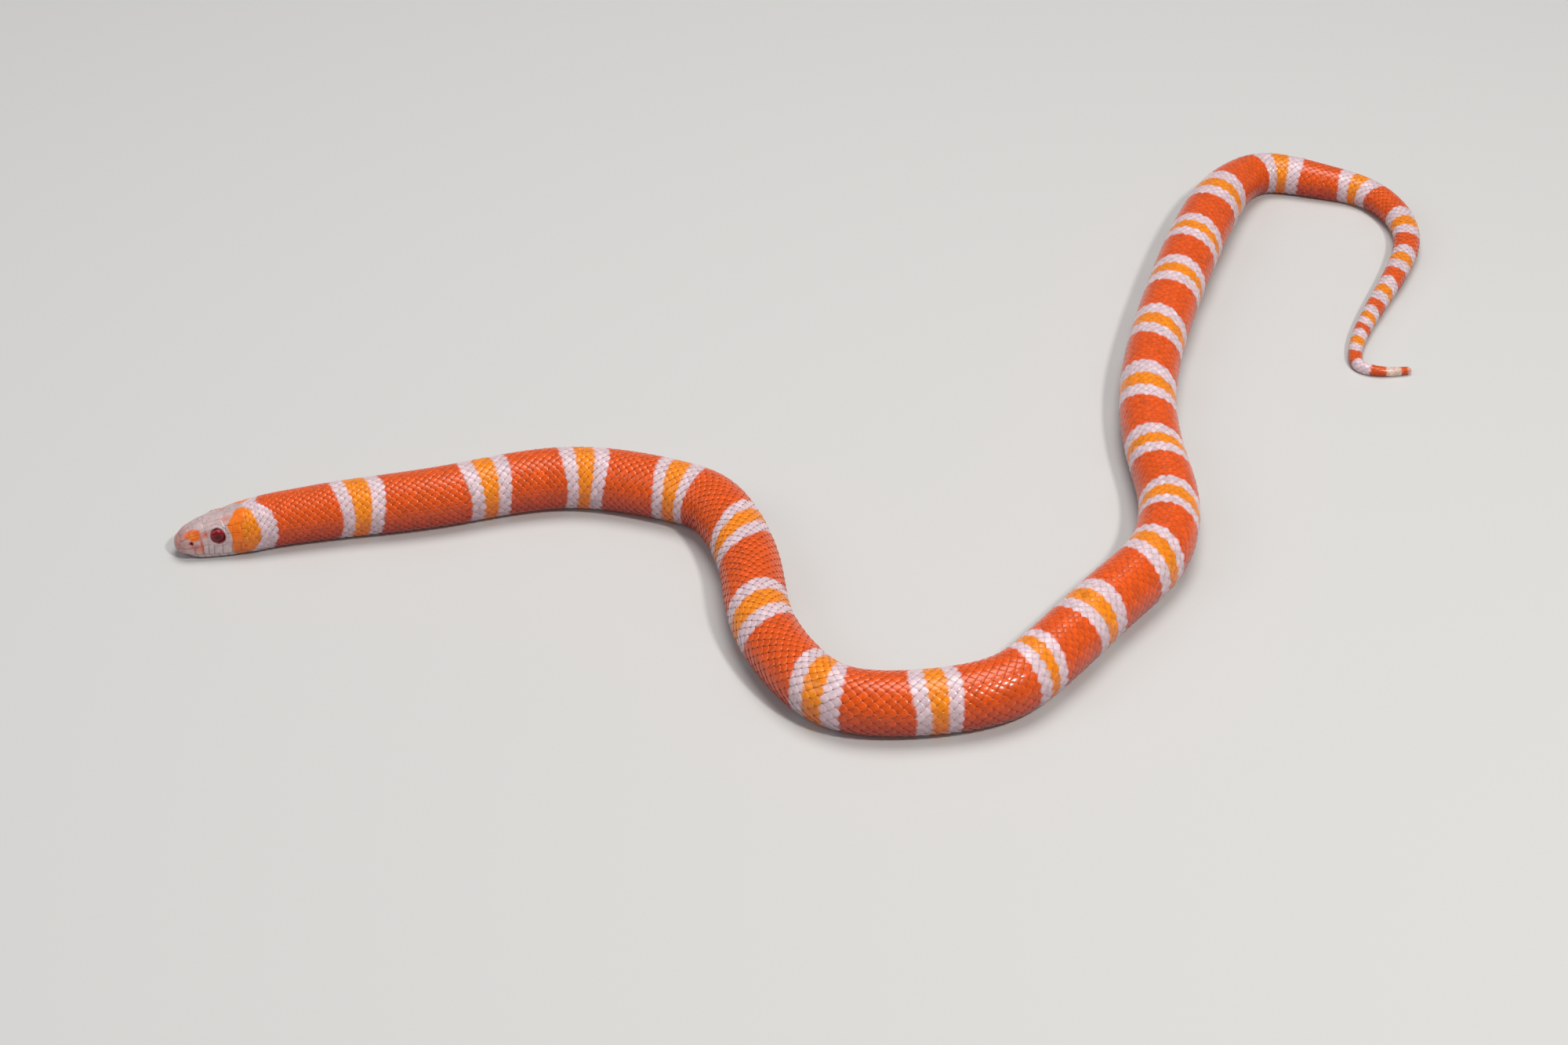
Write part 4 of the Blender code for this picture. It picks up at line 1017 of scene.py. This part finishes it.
def scute_shape(s, pitch, first_turn, last_turn):
    """Top and bottom points of one scute, between two angles."""
    u, v = np.meshgrid(SCUTE_LONG, np.linspace(0.0, 1.0, SCUTE_WIDE), indexing="ij")
    u, v = u.ravel(), v.ravel()
    turn = first_turn + (last_turn - first_turn) * v
    out = np.abs(180.0 - turn % 360.0) / (180.0 - SCUTE_TURN)
    round_end = np.maximum(0.0, out - 0.72) / 0.28
    at = s + u * pitch * SCUTE_LENGTH - 0.55 * pitch * round_end**2 * u
    size = np.clip(section(at)[0] / FULL_GIRTH, 0.12, 1.0)
    height = (-SCUTE_ROOT + (SCUTE_ROOT + SCUTE_LIFT) * u - 0.05 * u**8) * size
    height -= 0.1 * round_end**2 * size
    outer = off_body(at, turn, height)
    inner = off_body(at, turn, height - SCUTE_THICK * size)
    low = SCUTE_FLOOR + 0.2 * (1.0 - u) * size
    outer[:, 2] = soft_floor(outer[:, 2], low, 0.22 * size)
    inner[:, 2] = soft_floor(inner[:, 2], low + 0.12 * size, 0.22 * size)
    return outer, inner, at, turn


scute_count = len(SCUTE_LONG) * SCUTE_WIDE
scute_faces = []
for row in range(len(SCUTE_LONG) - 1):
    for k in range(SCUTE_WIDE - 1):
        a = row * SCUTE_WIDE + k
        quad = (a, a + SCUTE_WIDE, a + SCUTE_WIDE + 1, a + 1)
        scute_faces.append(quad)
        scute_faces.append(tuple(j + scute_count for j in reversed(quad)))
last_row = (len(SCUTE_LONG) - 1) * SCUTE_WIDE
scute_edge = list(range(SCUTE_WIDE))
scute_edge += [row * SCUTE_WIDE + SCUTE_WIDE - 1 for row in range(1, len(SCUTE_LONG))]
scute_edge += [last_row + k for k in range(SCUTE_WIDE - 2, -1, -1)]
scute_edge += [row * SCUTE_WIDE for row in range(len(SCUTE_LONG) - 2, 0, -1)]
for k, a in enumerate(scute_edge):
    b = scute_edge[(k + 1) % len(scute_edge)]
    scute_faces.append((a, b, b + scute_count, a + scute_count))

scute_finish = hide_material("scute_hide", 0.34, 0.2, 1400.0)
for name, start, end in (("belly_scutes", 0.0, TAIL_START), ("tail_scutes", TAIL_START, 710.0)):
    points, tints, faces, places = [], [], [], []
    for s, pitch in scute_rows():
        if not start <= s < end:
            continue
        spans = [(SCUTE_TURN, 360.0 - SCUTE_TURN)]
        if start >= TAIL_START:
            spans = [(SCUTE_TURN, 180.0 + 1.0 - PAIR_GAP), (180.0 - 1.0 + PAIR_GAP, 360.0 - SCUTE_TURN)]
        for first_turn, last_turn in spans:
            outer, inner, at, turn = scute_shape(s, pitch, first_turn, last_turn)
            base = len(points) * 2 * scute_count
            points.append(np.concatenate([outer, inner]))
            signed = (turn + 180.0) % 360.0 - 180.0
            middle = np.full_like(at, s + 0.7 * pitch)
            white, orange = band_shares(middle, signed, 1.2)
            colour = RED + (WHITE - RED) * white[:, None]
            colour = colour + (ORANGE - colour) * orange[:, None]
            paler = 0.55 * ease((np.abs(signed) - 125.0) / 30.0)[:, None]
            colour = colour + (linear(HUES["belly"]) - colour) * paler
            colour = colour * (1.0 + 0.04 * chance.normal())
            # Painted shade: each scute's inner face is darker, at 0.6 of its colour.
            tints.append(np.concatenate([colour, colour * 0.6]))
            faces += [tuple(base + j for j in face) for face in scute_faces]
            spread = np.stack([np.full_like(at, s), (turn - SCUTE_TURN) / (360.0 - 2 * SCUTE_TURN)], -1)
            spread[:, 0] = (s - start) / (end - start) + 0.003 * (at - s) / pitch
            places.append(np.concatenate([spread, spread]) * 0.98 + 0.01)
    piece = new_piece(name, np.concatenate(points) * MM, faces, np.concatenate(tints))
    piece.data.materials.append(scute_finish)
    unwrap(piece, np.concatenate(places))
    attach(piece, "root")


# The floor, the lights and the camera, at the angle of the photograph.
bpy.ops.mesh.primitive_plane_add(size=6.0, location=(0.0, 0.0, 0.0))
floor = bpy.context.active_object
floor.name = "floor"
floor_paint = bpy.data.materials.new("pale_floor")
floor_paint.use_nodes = True
floor_shader = floor_paint.node_tree.nodes["Principled BSDF"]
floor_shader.inputs["Base Color"].default_value = (0.6, 0.595, 0.58, 1.0)
floor_shader.inputs["Roughness"].default_value = 0.85
floor.data.materials.append(floor_paint)

LIGHTS = [
    ("top_light", (0.05, 0.2, 1.25), 0.8, 9.5, (1.0, 0.99, 0.97)),
    ("key_light", (0.5, -0.55, 0.95), 0.14, 6.5, (1.0, 0.97, 0.93)),
    ("left_light", (-0.95, -0.25, 0.75), 0.7, 2.0, (0.97, 0.98, 1.0)),
]
for name, place, size, power, colour in LIGHTS:
    lamp = bpy.data.lights.new(name, "AREA")
    lamp.shape = "DISK"
    lamp.size = size
    lamp.energy = power
    lamp.color = colour
    holder = bpy.data.objects.new(name, lamp)
    holder.location = place
    holder.rotation_euler = (-Vector(place)).to_track_quat("-Z", "Y").to_euler()
    bpy.context.scene.collection.objects.link(holder)

world = bpy.data.worlds.new("soft_room")
world.use_nodes = True
world.node_tree.nodes["Background"].inputs["Color"].default_value = (0.9, 0.92, 1.0, 1.0)
world.node_tree.nodes["Background"].inputs["Strength"].default_value = 0.24
bpy.context.scene.world = world

camera_data = bpy.data.cameras.new("photo_camera")
# The photo was taken looking 38 degrees down, through a lens of 60 mm.
camera_data.lens = 60.0
camera_data.sensor_width = 36.0
camera_data.sensor_fit = "HORIZONTAL"
camera_data.clip_start = 0.01
camera = bpy.data.objects.new("photo_camera", camera_data)
camera.location = (-0.0181, -0.6007, 0.43295)
camera.rotation_euler = (math.radians(52.0), 0.0, 0.0)
bpy.context.scene.collection.objects.link(camera)
bpy.context.scene.camera = camera
bpy.context.scene.view_settings.view_transform = "Standard"
